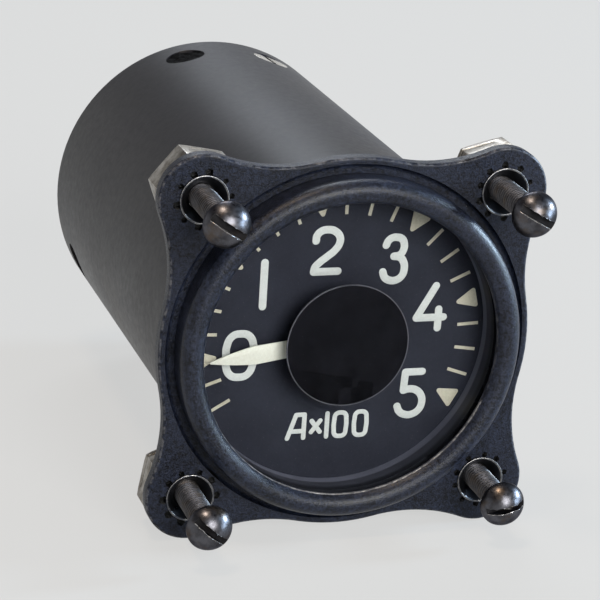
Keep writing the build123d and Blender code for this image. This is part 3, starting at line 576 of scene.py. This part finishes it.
def spacerPaint(name, part):
    # the dial's paint on the spacer ring, with painted shade in front and a paler band of painted
    # light next to the dial
    finish, tree, shader, coords = newFinish(name, part["roughness"])
    along = splitCoords(tree, coords)[1]
    tone = ramp(tree, noiseOut(tree, coords, part["toneSize"], 3),
                [(0.35, part["dark"]), (0.65, part["light"])])
    # painted shade towards the front
    tone = blendColour(tree, between(tree, along, part["shadeTo"]), tone, part["front"])
    # a paler band next to the dial, painted light against the shade there
    broken = remap(tree, noiseOut(tree, coords, part["breakSize"], 3), 0.25, 0.55, 0.6, 1)
    band = times(tree, between(tree, along, part["paintedLightFrom"]), broken)
    setInputs(shader, {
        "Base Color": blendColour(tree, band, tone, part["band"]),
        "Specular IOR Level": part["specular"],
    })
    bumpFrom(tree, shader, noiseOut(tree, coords, part["grainSize"], 3), part["grainDepth"], 0.4)
    return finish


# one finish for each slot, the lighter tone first
finishes = {
    "flange_paint": sandblastedBlack("castingFinish", castFinish),
    "case_paint": satinTube("tubeFinish", tubeFinish),
    "screw_steel": burnishedSteel("screwFinish", screwFinish),
    "nut_steel": nutSteel("nutFinish", nutFinish),
    "gasket_rubber": moulded("gasketFinish", (0.12, 0.085, 0.055), (0.05, 0.036, 0.026),
                             depth=0.04),
    "window": clearWindow("windowFinish", windowFinish),
    "mask_black": hubLacquer("maskFinish", maskFinish),
    "dial_black": moulded("dialFinish", (0.027, 0.029, 0.042), (0.020, 0.021, 0.031),
                          grainSize=0.35, depth=0.01, specular=0.12),
    "dial_mark": moulded("markFinish", (0.60, 0.56, 0.45), (0.46, 0.42, 0.33),
                         grainSize=0.25, specular=0.3),
    "pointer_cream": moulded("pointerFinish", (0.86, 0.85, 0.76), (0.76, 0.74, 0.64),
                             roughness=0.5, grainSize=0.4, depth=0.01, specular=0.3),
    "brass_parts": plainMetal("brassFinish", (0.72, 0.53, 0.26), (0.52, 0.36, 0.16), 0.3),
    "terminal_brass": plainMetal("terminalFinish", (0.62, 0.58, 0.50), (0.40, 0.36, 0.29), 0.28),
    "spring_bronze": plainMetal("springFinish", (0.70, 0.42, 0.22), (0.50, 0.28, 0.14), 0.25),
    "pole_iron": plainMetal("poleFinish", (0.34, 0.34, 0.35), (0.22, 0.22, 0.23), 0.4,
                            size=2.0, stretch=(1.0, 0.1, 1.0)),
    "magnet_alloy": plainMetal("magnetFinish", (0.27, 0.26, 0.25), (0.15, 0.145, 0.14), 0.5,
                               size=0.8),
    "coil_copper": woundWire("coilFinish", (0.58, 0.22, 0.10), (0.20, 0.07, 0.03), 0.25, "X"),
    "light_alloy": plainMetal("alloyFinish", (0.78, 0.79, 0.80), (0.60, 0.61, 0.62), 0.3),
    "staff_steel": plainMetal("staffFinish", (0.66, 0.66, 0.67), (0.5, 0.5, 0.5), 0.16),
    "base_moulding": moulded("baseFinish", (0.030, 0.027, 0.025), (0.018, 0.016, 0.015),
                             roughness=0.34, grainSize=0.6),
    "bobbin_moulding": moulded("bobbinFinish", (0.28, 0.14, 0.06), (0.17, 0.08, 0.035),
                               roughness=0.4, grainSize=0.7),
    "resistance_wire": woundWire("wireFinish", (0.36, 0.30, 0.20), (0.10, 0.08, 0.05), 0.3, "Y"),
    "lead_sleeve": moulded("sleeveFinish", (0.36, 0.04, 0.03), (0.24, 0.025, 0.02),
                           roughness=0.45, depth=0.03),
    "seal_compound": moulded("sealFinish", (0.006, 0.006, 0.007), (0.001, 0.001, 0.001),
                             grainSize=0.35, depth=0.06, specular=0.012),
}
bareFinish = plainMetal("bareScrewFinish", (0.72, 0.69, 0.64), (0.46, 0.43, 0.39), 0.24, size=2.2)
numeralFinish = moulded("numeralFinish", (0.67, 0.683, 0.665), (0.58, 0.593, 0.575),
                        roughness=0.55, depth=0.015, specular=0.3)
for part in frame["record"]["subparts"]:
    materials = frame["nodes"][part["node"]].data.materials
    materials.clear()
    materials.append(finishes[part["material_slot"]])
frame["nodes"]["spacer_ring"].data.materials[0] = spacerPaint("spacerFinish", spacerFinish)
print("finishes ready")


# bezel ring

bezelSizes = {
    "bore": 26.05, "outer": 26.8, "skirtEnd": 0.9, "edgeBreak": 0.06,
    "beadRadius": 1.8, "crest": -4.3,
    "sweep": 0.97,  # share of the way from the crest to the lip that stays an arc
    "lipInner": 23.2, "lipFront": -3.0, "lipBack": -2.4,
    "lipEdge": ((0.16, -0.02), (0.03, 0.03), (0.0, 0.09)),  # from its inner radius and front
    "lipBand": 0.10,
    "highlightBelow": -9.0,  # the lip is painted bright under this height, as a highlight
    "highlightWear": 2.0, "lipWear": 0.7,
    "beadPoints": 13, "innerPoints": 12, "steps": 256,
}


def makeBezel(size):
    outer, skirtEnd, edgeBreak = size["outer"], size["skirtEnd"], size["edgeBreak"]
    lipInner, lipFront, crest = size["lipInner"], size["lipFront"], size["crest"]
    bead = size["beadRadius"]
    crestRadius = outer - bead
    outline = [(size["bore"], size["lipBack"]), (size["bore"], skirtEnd),
               (outer - edgeBreak, skirtEnd), (outer, skirtEnd - edgeBreak)]
    outline += arcPoints(crestRadius, crest + bead, bead, 0, -90, size["beadPoints"])
    # inner side of the bead, an arc that leaves the crest level and meets the lip
    dx, dy = crestRadius - lipInner, lipFront - crest
    radius = (dx * dx + dy * dy) / (2 * dy)
    sweep = math.degrees(math.asin(dx / radius)) * size["sweep"]
    outline += arcPoints(crestRadius, crest + radius, radius, -90, -90 - sweep,
                         size["innerPoints"])[1:]
    outline += [(lipInner + inward, lipFront + behind) for inward, behind in size["lipEdge"]]
    outline.append((lipInner, size["lipBack"]))
    shape = spunAboutY(outline, size["steps"])
    # the lip is worn all round, and painted bright at the bottom as a highlight
    layer = wearAndHighlightLayer(shape)
    for v in shape.verts:
        onLip = math.hypot(v.co.x, v.co.z) < lipInner + size["lipBand"]
        if onLip and v.co.y < lipFront + size["lipBand"]:
            v[layer] = size["highlightWear"] if v.co.z < size["highlightBelow"] else size["lipWear"]
    asPiece(shape, "bezelBead", "case", "flange_paint", ["bezel_ring"],
            finish=sandblastedBlack("bezelFinish", bezelFinish))


makeBezel(bezelSizes)
print("bezel made")


# flange with the staking notches round the nuts

# stand: how far a screw's seat stands out, slot and notchTurn: degrees, torn: damage to the slot
corners = {
    "top_left": {"x": -23.5, "z": 23.5, "stand": 11.9, "slot": -33, "notchTurn": 8, "torn": 0.0},
    "top_right": {"x": 23.5, "z": 23.5, "stand": 11.4, "slot": -29, "notchTurn": 20, "torn": 0.0},
    "bottom_left": {"x": -23.5, "z": -23.5, "stand": 11.0, "slot": -40, "notchTurn": 2,
                    "torn": 0.05},
    "bottom_right": {"x": 23.5, "z": -23.5, "stand": 9.3, "slot": 11, "notchTurn": 14,
                     "torn": 0.11},
}
flangeSizes = {
    "notches": 10, "notchRadius": 4.15, "notchReach": 0.74, "notchDepth": 0.75,
    "turnSpread": 3, "reachSpread": (0.75, 1.2), "tiltSpread": 12,
    "coneEnds": (0.55, 1.15),  # radii of the cutting cone, as shares of its reach
    # where the painted shade in the notches lies and how far it reaches
    "shadeAndDirt": {"near": 0.005, "deep": 0.1, "level": 0.9, "reach": 1.4},
    "frontEdge": {"outside": 28.45, "from": 0.04, "to": 0.32, "wearAndHighlight": 0.8},
    "backEdge": {"outside": 28.1, "from": 4.6, "to": 5.3, "wearAndHighlight": 0.7},
    "rounds": (29.4, 28.3, 26.0, 25.3),
}


def makeFlange(size):
    random.seed(4)
    shape = mergedCopy("front_flange")
    cutter = bmesh.new()
    count, depth = size["notches"], size["notchDepth"]
    narrow, wide = size["coneEnds"]
    for corner in corners.values():
        for k in range(count):
            spread = random.uniform(-size["turnSpread"], size["turnSpread"])
            angle = corner["notchTurn"] + 360 / count * k + spread
            reach = size["notchReach"] * random.uniform(*size["reachSpread"])
            tilt = random.uniform(-size["tiltSpread"], size["tiltSpread"])
            place = moved(corner["x"], 0, corner["z"]) @ turned(-angle, "Y") \
                @ moved(size["notchRadius"], 0, 0) @ turned(90, "X") @ turned(tilt, "Z")
            bmesh.ops.create_cone(cutter, cap_ends=True, cap_tris=False, segments=5,
                                  radius1=reach * narrow, radius2=reach * wide, depth=2 * depth,
                                  matrix=place)
    shape = cutAway(shape, cutter)
    layer = wearAndHighlightLayer(shape)
    for v in shape.verts:
        for edge in (size["frontEdge"], size["backEdge"]):
            if math.hypot(v.co.x, v.co.z) > edge["outside"] and edge["from"] < v.co.y < edge["to"]:
                v[layer] = edge["wearAndHighlight"]
    shadeAndDirt = size["shadeAndDirt"]
    notchShadeRadius = size["notchRadius"] + size["notchReach"] * shadeAndDirt["reach"]

    def notchShade(middle, normal):
        # painted shade on the notches' walls and floors, but not on the flange's own face
        inNotch = shadeAndDirt["near"] < middle.y < depth + 2 * shadeAndDirt["near"]
        inNotch = inNotch and (abs(normal.y) < shadeAndDirt["level"] or middle.y > shadeAndDirt["deep"])
        return inNotch and any(math.hypot(middle.x - c["x"], middle.z - c["z"]) < notchShadeRadius
                               for c in corners.values())

    markShadeAndGrime(shape, notchShade)
    piece = asPiece(shape, "castFlange", "case", "flange_paint", ["front_flange"], 40)
    trueNormals(piece, size["rounds"])


makeFlange(flangeSizes)
print("flange made")


# case tube

tubeSizes = {"radius": 27.05, "wall": 1.0}


def makeTube(size):
    piece = asPiece(mergedCopy("case_tube"), "caseTube", "case", "case_paint", ["case_tube"])
    trueNormals(piece, (size["radius"], size["radius"] - size["wall"]))


makeTube(tubeSizes)


# bare screw and sealed recesses in the case wall

wallScrewSizes = {
    "plane": 78.3,  # how far along the case the screws sit
    "angle": 70, "turn": 90, "edgeRound": 0.06, "sharpOver": 40, "headTop": 26.9,
    "slotFrom": 0.12, "slotDepth": 0.8, "near": 0.05, "upright": 0.1,
}
sealSizes = {
    "angles": (104, 204, 324),
    "floor": 26.45, "radius": 3.39, "thickness": 0.48, "rings": 14,
    "steps": 56, "lump": 1.3, "relief": 0.36,
    "level": 0.45,  # how deep the compound lies on average, as a share of the relief
    "gain": 0.9,
}


def makeBareScrew(size):
    # the CAD screw, turned about its own axis so that its slot runs along the case
    shape = mergedCopy("bare_base_screw")
    angle = math.radians(size["angle"])
    axis = Vector((math.cos(angle), 0, math.sin(angle)))
    bmesh.ops.rotate(shape, cent=(0, size["plane"], 0), matrix=turned(size["turn"], axis, 3),
                     verts=shape.verts)
    bevelSharp(shape, size["edgeRound"], size["sharpOver"])
    for face in shape.faces:
        depth = size["headTop"] - face.calc_center_median().dot(axis)
        inSlot = size["slotFrom"] < depth < size["slotDepth"] + size["near"]
        onWall = inSlot and abs(face.normal.dot(axis)) < size["upright"]
        if onWall or abs(depth - size["slotDepth"]) < size["near"]:
            face.material_index = 1  # the slot's walls and floor take the black compound finish as painted shade
    piece = asPiece(shape, "bareScrew", "case", "screw_steel", ["bare_base_screw"],
                    finish=bareFinish)
    piece.data.materials.append(finishes["seal_compound"])


def makeSeals(size, plane):
    # each seal is a disc of rough compound, lumpy on its outer face
    seals = bmesh.new()
    radius, thickness, rings = size["radius"], size["thickness"], size["rings"]
    outline = [(0.0, 0.0), (radius, 0.0)]
    outline += [(radius * (1 - i / rings), thickness) for i in range(rings + 1)]
    for angle in size["angles"]:
        seal = spunAboutY(outline, size["steps"], closed=False)
        for v in seal.verts:
            if v.co.y > thickness / 2:
                spot = Vector((v.co.x, angle, v.co.z)) / size["lump"]
                hollow = size["level"] + size["gain"] * noise.fractal(spot, 1.0, 2.0, 3)
                v.co.y -= size["relief"] * min(1.0, max(0.0, hollow))
        place = moved(0, plane, 0) @ turned(-angle, "Y") @ turned(-90, "Z")
        bmesh.ops.transform(seal, matrix=place @ moved(0, size["floor"], 0), verts=seal.verts)
        joinShape(seals, seal)
    asPiece(seals, "sealCompound", "case", "seal_compound", ["screw_seals"], 60)


makeBareScrew(wallScrewSizes)
makeSeals(sealSizes, wallScrewSizes["plane"])


# anchor nuts

nutSizes = {"edgeRound": 0.09, "sharpOver": 28}


def makeNuts(size):
    for name in corners:
        nut = mergedCopy(f"anchor_nut_{name}")
        bevelSharp(nut, size["edgeRound"], size["sharpOver"])
        asPiece(nut, f"anchorNut_{name}", "case", "nut_steel", [f"anchor_nut_{name}"])


makeNuts(nutSizes)
print("tube and nuts made")


# panel screws

screwSizes = {
    "headRadius": 3.5, "headHeight": 3.3, "rim": 0.7, "rimRound": 0.06,
    "underChamfer": 0.25, "underRound": (0.08, 0.10), "domeGap": 0.8,
    "edgeRound": 0.14, "sharpOver": 32, "slotWidth": 1.15, "slotDepth": 1.6,
    "core": 1.62, "thread": 2.0, "pitch": 0.7, "threadFrom": 0.05, "length": 16.0,
    "point": 0.5, "pointIn": 0.35, "rootIn": 0.3, "threadDirt": 0.35,
    "steps": {"dome": 22, "head": 96, "shank": 48},
}
slotSizes = {
    "cutter": (9.0, 4.0),  # length and height of the block that cuts the slot
    "tornNarrows": 2.5, "tornPull": 2.2,
    "burr": 0.10, "burrWidth": 0.35, "burrGrain": 2.3, "burrLift": 0.6,
    "burrAndGlintWear": {"lower": 2.0, "beside": 1.5, "upper": 0.6},
    "slack": 0.02, "tornSlack": 0.3,  # how far past the walls the marks reach
    "floor": (-2.4, -1.3), "level": 0.9, "upright": 0.8, "edgeUpright": 0.7,
    "overFloor": 0.05, "floorShade": 0.80,
}
threadShape = {
    "under": 0.08, "foot": 0.02, "round": 0.05, "crestBand": 0.03,
    "crestWear": 0.45, "steps": 30,
}


def makeThread(shape, core, crest, pitch, start, length, shadeAndDirt=0.0):
    # one closed ridge round the core, from start to start + length
    under, foot = core - threadShape["under"], core + threadShape["foot"]
    flank = crest - threadShape["round"]
    profile = [(under, 0.0), (foot, 0.02), (flank, pitch * 0.36), (crest, pitch * 0.42),
               (crest, pitch * 0.58), (flank, pitch * 0.64), (foot, pitch * 0.98), (under, pitch)]
    ridge = helixRidge([(r, y + start) for r, y in profile], pitch, (length - pitch) / pitch,
                       threadShape["steps"])
    layer = wearAndHighlightLayer(ridge)
    for v in ridge.verts:
        onCrest = math.hypot(v.co.x, v.co.z) > crest - threadShape["crestBand"]
        v[layer] = threadShape["crestWear"] if onCrest else 0.0
    markShadeAndGrime(ridge, lambda middle, normal: shadeAndDirt)
    joinShape(shape, ridge)


def makeHead(size):
    # a round head whose seat lies at y 0
    radius, rim, chamfer = size["headRadius"], size["rim"], size["underChamfer"]
    dome = size["headHeight"] - rim
    domeRadius = (radius ** 2 + dome ** 2) / (2 * dome)
    half = math.degrees(math.asin(radius / domeRadius))
    inward, forward = size["underRound"]
    outline = [(0.0, 0.0), (radius - chamfer, 0.0), (radius - inward, -forward),
               (radius, -chamfer), (radius, -rim + size["rimRound"])]
    outline += arcPoints(0.0, domeRadius - size["headHeight"], domeRadius,
                         -90 + half - size["domeGap"], -90, size["steps"]["dome"])
    outline[-1] = (0.0, -size["headHeight"])
    return spunAboutY(outline, size["steps"]["head"], closed=False)


def makeSlotCutter(size, corner):
    # a block as wide as the slot, pulled uneven where the slot is torn
    cutter = bmesh.new()
    bmesh.ops.create_cube(cutter, size=1.0)
    torn = corner["torn"]
    length, height = slotSizes["cutter"]
    width = size["slotWidth"] - slotSizes["tornNarrows"] * torn
    bmesh.ops.scale(cutter, vec=(length, height, width), verts=cutter.verts)
    bmesh.ops.subdivide_edges(cutter, edges=cutter.edges, use_grid_fill=True,
                              cuts=15 if torn else 1)
    for v in cutter.verts:
        v.co.y += size["slotDepth"] - size["headHeight"] - height / 2
        if torn:
            spot = Vector((v.co.x * 1.3, v.co.y * 0.8, v.co.z * 2.0 + corner["x"]))
            v.co.z += torn * slotSizes["tornPull"] * noise.noise(spot)
            v.co.y += torn * noise.noise(Vector((v.co.x * 1.7, 3.0, v.co.z)))
    bmesh.ops.rotate(cutter, cent=(0, 0, 0), matrix=turned(-corner["slot"], "Y", 3),
                     verts=cutter.verts)
    return cutter


def shadeAndWearSlot(head, size, corner):
    # painted shade in the slot, and burrs on its edges, painted bright along the lower one as a
    # glint
    slot, wearAndHighlight = slotSizes, slotSizes["burrAndGlintWear"]
    turn = turned(corner["slot"], "Y", 3)
    halfSlot = size["slotWidth"] / 2 + (slot["tornSlack"] if corner["torn"] else slot["slack"])
    highest = min(-size["rim"], size["slotDepth"] - size["headHeight"] - slot["overFloor"])

    def slotShade(middle, normal):
        if abs((turn @ middle).z) > halfSlot:
            return 0.0
        # the floor and the upper wall are painted dark as shade
        onFloor = normal.y < -slot["level"] and slot["floor"][0] < middle.y < slot["floor"][1]
        return slot["floorShade"] if onFloor else float((turn @ normal).z < -slot["upright"])

    markShadeAndGrime(head, slotShade)
    layer = wearAndHighlightLayer(head)
    beside = set()
    for v in head.verts:
        walls = [abs((turn @ f.normal).z) > slot["edgeUpright"] and abs((turn @ v.co).z) < halfSlot
                 for f in v.link_faces]
        if v.co.y < highest and any(walls) and not all(walls):
            # the lower edge is painted brightest, as a glint
            lower = (turn @ v.co).z < 0
            v[layer] = wearAndHighlight["lower"] if lower else wearAndHighlight["upper"]
            beside.update(e.other_vert(v) for e in v.link_edges
                          if lower and e.calc_length() < slot["burrWidth"])
            grain = slot["burrGrain"]
            spot = Vector((v.co.x * grain, v.co.z * grain, corner["x"] + corner["z"]))
            shift = slot["burr"] * noise.noise(spot)
            lift = Vector((0, -abs(shift) * slot["burrLift"], 0))
            v.co += turn.inverted() @ Vector((0, 0, shift)) + lift
    for v in beside:
        v[layer] = max(v[layer], wearAndHighlight["beside"])


def makePanelScrew(name, corner, size):
    head = cutAway(makeHead(size), makeSlotCutter(size, corner))
    joinFlat(head, degrees=0.2)
    bevelSharp(head, size["edgeRound"], size["sharpOver"])
    shadeAndWearSlot(head, size, corner)
    core, start, length = size["core"], size["threadFrom"], size["length"]
    plain, root = length - size["point"], -size["rootIn"]
    shank = spunAboutY([(0.0, root), (core, root), (core, plain), (core - size["pointIn"], length),
                        (0.0, length)], size["steps"]["shank"], closed=False)
    makeThread(shank, core, size["thread"], size["pitch"], start, plain - start,
               size["threadDirt"])
    joinShape(head, shank)
    bmesh.ops.translate(head, vec=(corner["x"], -corner["stand"], corner["z"]), verts=head.verts)
    asPiece(head, f"panelScrew_{name}", f"screw_{name}", "screw_steel", [f"panel_screw_{name}"])


for name, corner in corners.items():
    makePanelScrew(name, corner, screwSizes)
print("panel screws made")


# rear terminals and base

terminalSizes = {
    "x": 10.0, "headRadius": 4.0, "headFrom": 77.7, "headTo": 80.2,
    "end": 99.0, "core": 2.18, "thread": 2.5, "pitch": 0.8, "point": 0.5,
    "pointIn": 0.35, "threadGap": 0.02, "steps": 48,
    "nutRound": 0.14, "washerRound": 0.1, "sharpOver": 28,
    "baseRound": 0.16, "baseSharpOver": 40,
    "baseRoundBehind": 85.0,  # only the base's edges behind this are rounded
}


def makeTerminals(size):
    studs = bmesh.new()
    core, headTo, end = size["core"], size["headTo"], size["end"]
    threadFrom, plain = headTo + size["threadGap"], end - size["point"]
    for side in (-1, 1):
        stud = spunAboutY([(0.0, size["headFrom"]), (size["headRadius"], size["headFrom"]),
                           (size["headRadius"], headTo), (core, headTo), (core, plain),
                           (core - size["pointIn"], end), (0.0, end)], size["steps"],
                          closed=False)
        makeThread(stud, core, size["thread"], size["pitch"], threadFrom, plain - threadFrom)
        bmesh.ops.translate(stud, vec=(side * size["x"], 0, 0), verts=stud.verts)
        joinShape(studs, stud)
    asPiece(studs, "terminalStuds", "case", "terminal_brass", ["terminal_studs"])
    for node, name, width in (("terminal_nuts", "terminalNuts", size["nutRound"]),
                              ("terminal_washers", "terminalWashers", size["washerRound"])):
        shape = mergedCopy(node)
        bevelSharp(shape, width, size["sharpOver"])
        asPiece(shape, name, "case", "terminal_brass", [node])
    base = mergedCopy("rear_base")
    bevelSharp(base, size["baseRound"], size["baseSharpOver"],
               lambda edge: min(v.co.y for v in edge.verts) > size["baseRoundBehind"])
    trueNormals(asPiece(base, "rearBase", "case", "base_moulding", ["rear_base"], 35))


makeTerminals(terminalSizes)
print("terminals made")


# numerals painted on the dial

numeralSizes = {
    "dial": 4.4, "rise": 0.05,
    "layerRise": 0.12,  # each further stroke of a numeral is thicker by this share
    "stroke": 1.2, "smallStroke": 0.74, "endShare": 0.99,
}
# each numeral: where its middle lies on the dial, then its strokes as (x, z) points from there
numerals = {
    "0": ((-15.55, -2.6), [
        [(0, 3.5), (1.35, 3.1), (2.12, 1.5), (2.15, 0), (2.12, -1.5), (1.35, -3.1), (0, -3.5),
         (-1.35, -3.1), (-2.12, -1.5), (-2.15, 0), (-2.12, 1.5), (-1.35, 3.1), "closed"]]),
    "1": ((-12.4, 8.6), [[(0, 3.48), (0, -3.48)]]),
    "2": ((-2.7, 13.75), [
        [(-1.85, 1.5), (-1.75, 2.3), (-1.1, 3.0), (0.0, 3.22), (1.15, 2.9), (1.9, 2.0), (1.9, 1.0),
         (1.2, -0.1), (0.05, -1.05), (-1.1, -1.95), (-1.75, -2.65), (-1.95, -3.42)],
        [(-1.95, -3.42), (1.9, -3.42)]]),
    "3": ((8.15, 12.0), [
        [(-1.45, 2.2), (-1.15, 2.9), (-0.55, 3.35), (0.2, 3.42), (1.0, 3.15), (1.42, 2.4),
         (1.35, 1.3), (0.85, 0.6), (-0.1, 0.4)],
        [(-0.1, 0.4), (0.9, 0.2), (1.55, -0.6), (1.72, -1.75), (1.4, -2.8), (0.55, -3.42),
         (-0.45, -3.46), (-1.35, -2.95), (-1.72, -2.05)]]),
    "4": ((14.65, 3.95), [
        [(0.7, 3.45), (-2.2, -1.7)], [(-2.2, -1.7), (2.25, -1.7)], [(1.4, -0.4), (1.4, -3.45)]]),
    "5": ((12.4, -10.1), [
        [(1.75, 3.5), (-1.0, 3.5)], [(-1.0, 3.5), (-1.15, 0.5)],
        [(-1.15, 0.5), (-0.2, 0.7), (0.95, 0.45), (1.85, -0.5), (2.05, -1.7), (1.6, -2.85),
         (0.5, -3.55), (-0.6, -3.55), (-1.6, -2.95), (-2.0, -2.1)]]),
}
# the unit marking, as (x, z) points on the dial
unitStrokes = [
    [(-7.22, -16.62), (-5.95, -12.78)], [(-5.95, -12.78), (-4.6, -12.78)],
    [(-4.6, -12.78), (-4.62, -16.62)], [(-6.8, -15.5), (-4.62, -15.5)],
    [(-3.4, -13.9), (-2.0, -15.75)], [(-2.0, -13.9), (-3.4, -15.75)],
    [(-0.9, -12.78), (-0.9, -16.62)],
    [(1.25, -12.75), (2.0, -13.0), (2.22, -13.9), (2.22, -15.5), (2.0, -16.4), (1.25, -16.65),
     (0.5, -16.4), (0.28, -15.5), (0.28, -13.9), (0.5, -13.0), "closed"],
    [(4.55, -12.75), (5.3, -13.0), (5.52, -13.9), (5.52, -15.5), (5.3, -16.4), (4.55, -16.65),
     (3.8, -16.4), (3.58, -15.5), (3.58, -13.9), (3.8, -13.0), "closed"],
]


def paintStroke(shape, points, centre, width, size, layer):
    # one brush stroke: a round-ended line, flattened to a film of paint
    closed = points[-1] == "closed"
    points = [(x + centre[0], z + centre[1]) for x, z in (points[:-1] if closed else points)]
    curve = bpy.data.curves.new("stroke", "CURVE")
    curve.dimensions = "3D"
    curve.bevel_depth = width / 2
    curve.bevel_resolution = 2
    curve.use_fill_caps = True
    line = curve.splines.new("BEZIER")
    line.bezier_points.add(len(points) - 1)
    line.resolution_u = 6
    for knot, (x, z) in zip(line.bezier_points, points):
        knot.co = (x, 0, z)
        knot.handle_left_type = knot.handle_right_type = "VECTOR" if len(points) == 2 else "AUTO"
    line.use_cyclic_u = closed
    thing = newObject("stroke", curve)
    bpy.context.view_layer.update()
    stroke = bmesh.new()
    stroke.from_mesh(bpy.data.meshes.new_from_object(thing))
    bpy.data.objects.remove(thing)
    if not closed:
        for x, z in (points[0], points[-1]):
            bmesh.ops.create_uvsphere(stroke, u_segments=24, v_segments=8,
                                      radius=width / 2 * size["endShare"],
                                      matrix=moved(x, 0, z) @ turned(90, "X"))
    height = size["rise"] * (1 + size["layerRise"] * layer)
    bmesh.ops.scale(stroke, vec=(1, height / (width / 2), 1), verts=stroke.verts)
    bmesh.ops.translate(stroke, vec=(0, size["dial"], 0), verts=stroke.verts)
    bmesh.ops.recalc_face_normals(stroke, faces=stroke.faces)
    joinShape(shape, stroke)


def makeNumerals(size):
    shape = bmesh.new()
    for centre, strokes in numerals.values():
        for layer, points in enumerate(strokes):
            paintStroke(shape, points, centre, size["stroke"], size, layer)
    for layer, points in enumerate(unitStrokes):
        paintStroke(shape, points, (0, 0), size["smallStroke"], size, layer % 4)
    asPiece(shape, "dialNumerals", "case", "dial_mark", sharp=60, finish=numeralFinish)


makeNumerals(numeralSizes)
print("numerals painted")


# pointer

pointerSizes = {"edgeRound": 0.1, "sharpOver": 40}


def makePointer(size):
    blade = mergedCopy("pointer")
    bevelSharp(blade, size["edgeRound"], size["sharpOver"])
    asPiece(blade, "pointerBlade", "movement", "pointer_cream", ["pointer"], 50)


makePointer(pointerSizes)


# stage, lamps and camera

coolBlue = (0.62, 0.81, 1.0)
stageSettings = {
    "floorHeight": -30.45,
    "floorSize": 6.0,  # metres from its middle to each side
    "paper": (0.680, 0.682, 0.676),
    "paperGlow": 0.88,
    "worldLight": (0.80, 0.82, 0.85),
    "worldStrength": 0.12,
    "ceiling": (0.10, 0.105, 0.12),
    "ceilingFrom": (0.12, 0.5),
}
lampSettings = {
    "coolSide": {"towards": (0.93, 0.02, 0.28), "distance": 0.9, "size": 0.17, "power": 14.0,
                 "colour": coolBlue},
    "coolLow": {"towards": (0.88, -0.36, 0.04), "distance": 0.9, "size": 0.25, "power": 5.0,
                "colour": coolBlue},
    "warmTop": {"towards": (-0.25, -0.12, 0.95), "distance": 0.9, "size": 0.16, "power": 3.5,
                "colour": (1.0, 0.80, 0.60)},
    "softFront": {"towards": (0.15, -0.93, 0.42), "distance": 1.2, "size": 0.7, "power": 15.5,
                  "colour": (1.0, 0.99, 0.97)},
    "behindTop": {"towards": (0.12, 0.72, 0.68), "distance": 1.0, "size": 0.45, "power": 5.5,
                  "colour": (0.86, 0.92, 1.0)},
}


def seenDirectly(tree):
    # 1 for rays that show the background: from the camera, mirrored or through glass
    rays = addNode(tree, "LightPath", {}).outputs
    return mathNode(tree, "MAXIMUM", rays["Is Camera Ray"],
                    mathNode(tree, "MAXIMUM", rays["Is Glossy Ray"], rays["Is Transmission Ray"]))


def makeFloor(settings):
    shape = bmesh.new()
    bmesh.ops.create_grid(shape, x_segments=8, y_segments=8, size=settings["floorSize"])
    floor = newObject("floor", asMesh(shape, "floor"))
    floor.location.z = settings["floorHeight"] * mm
    paper, tree, shader = newFinish("paperFinish", roughness=0.9)[:3]
    setInputs(shader, {"Base Color": settings["paper"], "Specular IOR Level": 0.0})
    glow = addNode(tree, "Emission", {"Color": settings["paper"]})
    surfaceFromMix(tree, "Material Output", times(tree, seenDirectly(tree), settings["paperGlow"]),
                   shader, glow)
    floor.data.materials.append(paper)


def makeWorld(settings):
    # plain light on the object, and a pale backdrop with a dimmer ceiling where it is seen
    world = bpy.data.worlds.new("studio")
    bpy.context.scene.world = world
    world.use_nodes = True
    tree = world.node_tree
    light = tree.nodes["Background"]
    setInputs(light, {"Color": settings["worldLight"], "Strength": settings["worldStrength"]})
    outward = addNode(tree, "TexCoord", {}).outputs["Generated"]
    height = remap(tree, splitCoords(tree, outward)[2], *settings["ceilingFrom"], smooth=True)
    seen = blendColour(tree, height, settings["paper"], settings["ceiling"])
    surfaceFromMix(tree, "World Output", seenDirectly(tree), light,
                   addNode(tree, "Background", {"Color": seen}))


def makeLamps(lamps):
    for name, lamp in lamps.items():
        data = bpy.data.lights.new(name, "AREA")
        data.shape = "DISK"
        data.size = lamp["size"]
        data.energy = lamp["power"]
        data.color = lamp["colour"]
        light = newObject(name, data)
        towards = Vector(lamp["towards"]).normalized()
        light.location = towards * lamp["distance"]
        light.rotation_euler = towards.to_track_quat("Z", "Y").to_euler()
    bpy.context.scene.view_settings.view_transform = "Standard"


cameraSettings = {
    "place": (-117.303, -337.099, 125.644),
    "aim": (-1.458, 20.0, 0.471),
    "roll": 3.596, "lens": 149.927, "sensor": 36, "near": 0.01,
}


def makeCamera(settings):
    data = bpy.data.cameras.new("photoCamera")
    data.lens = settings["lens"]
    data.sensor_width = settings["sensor"]
    data.clip_start = settings["near"]
    camera = newObject("photoCamera", data)
    place, aim = Vector(settings["place"]) * mm, Vector(settings["aim"]) * mm
    back = (place - aim).normalized()
    right = Vector((0, 0, 1)).cross(back).normalized()
    turn = Matrix((right, back.cross(right), back)).transposed().to_4x4()
    camera.matrix_world = Matrix.Translation(place) @ turn @ turned(settings["roll"], "Z")
    bpy.context.scene.camera = camera


makeFloor(stageSettings)
makeWorld(stageSettings)
makeLamps(lampSettings)
makeCamera(cameraSettings)
print("stage, lamps and camera set")
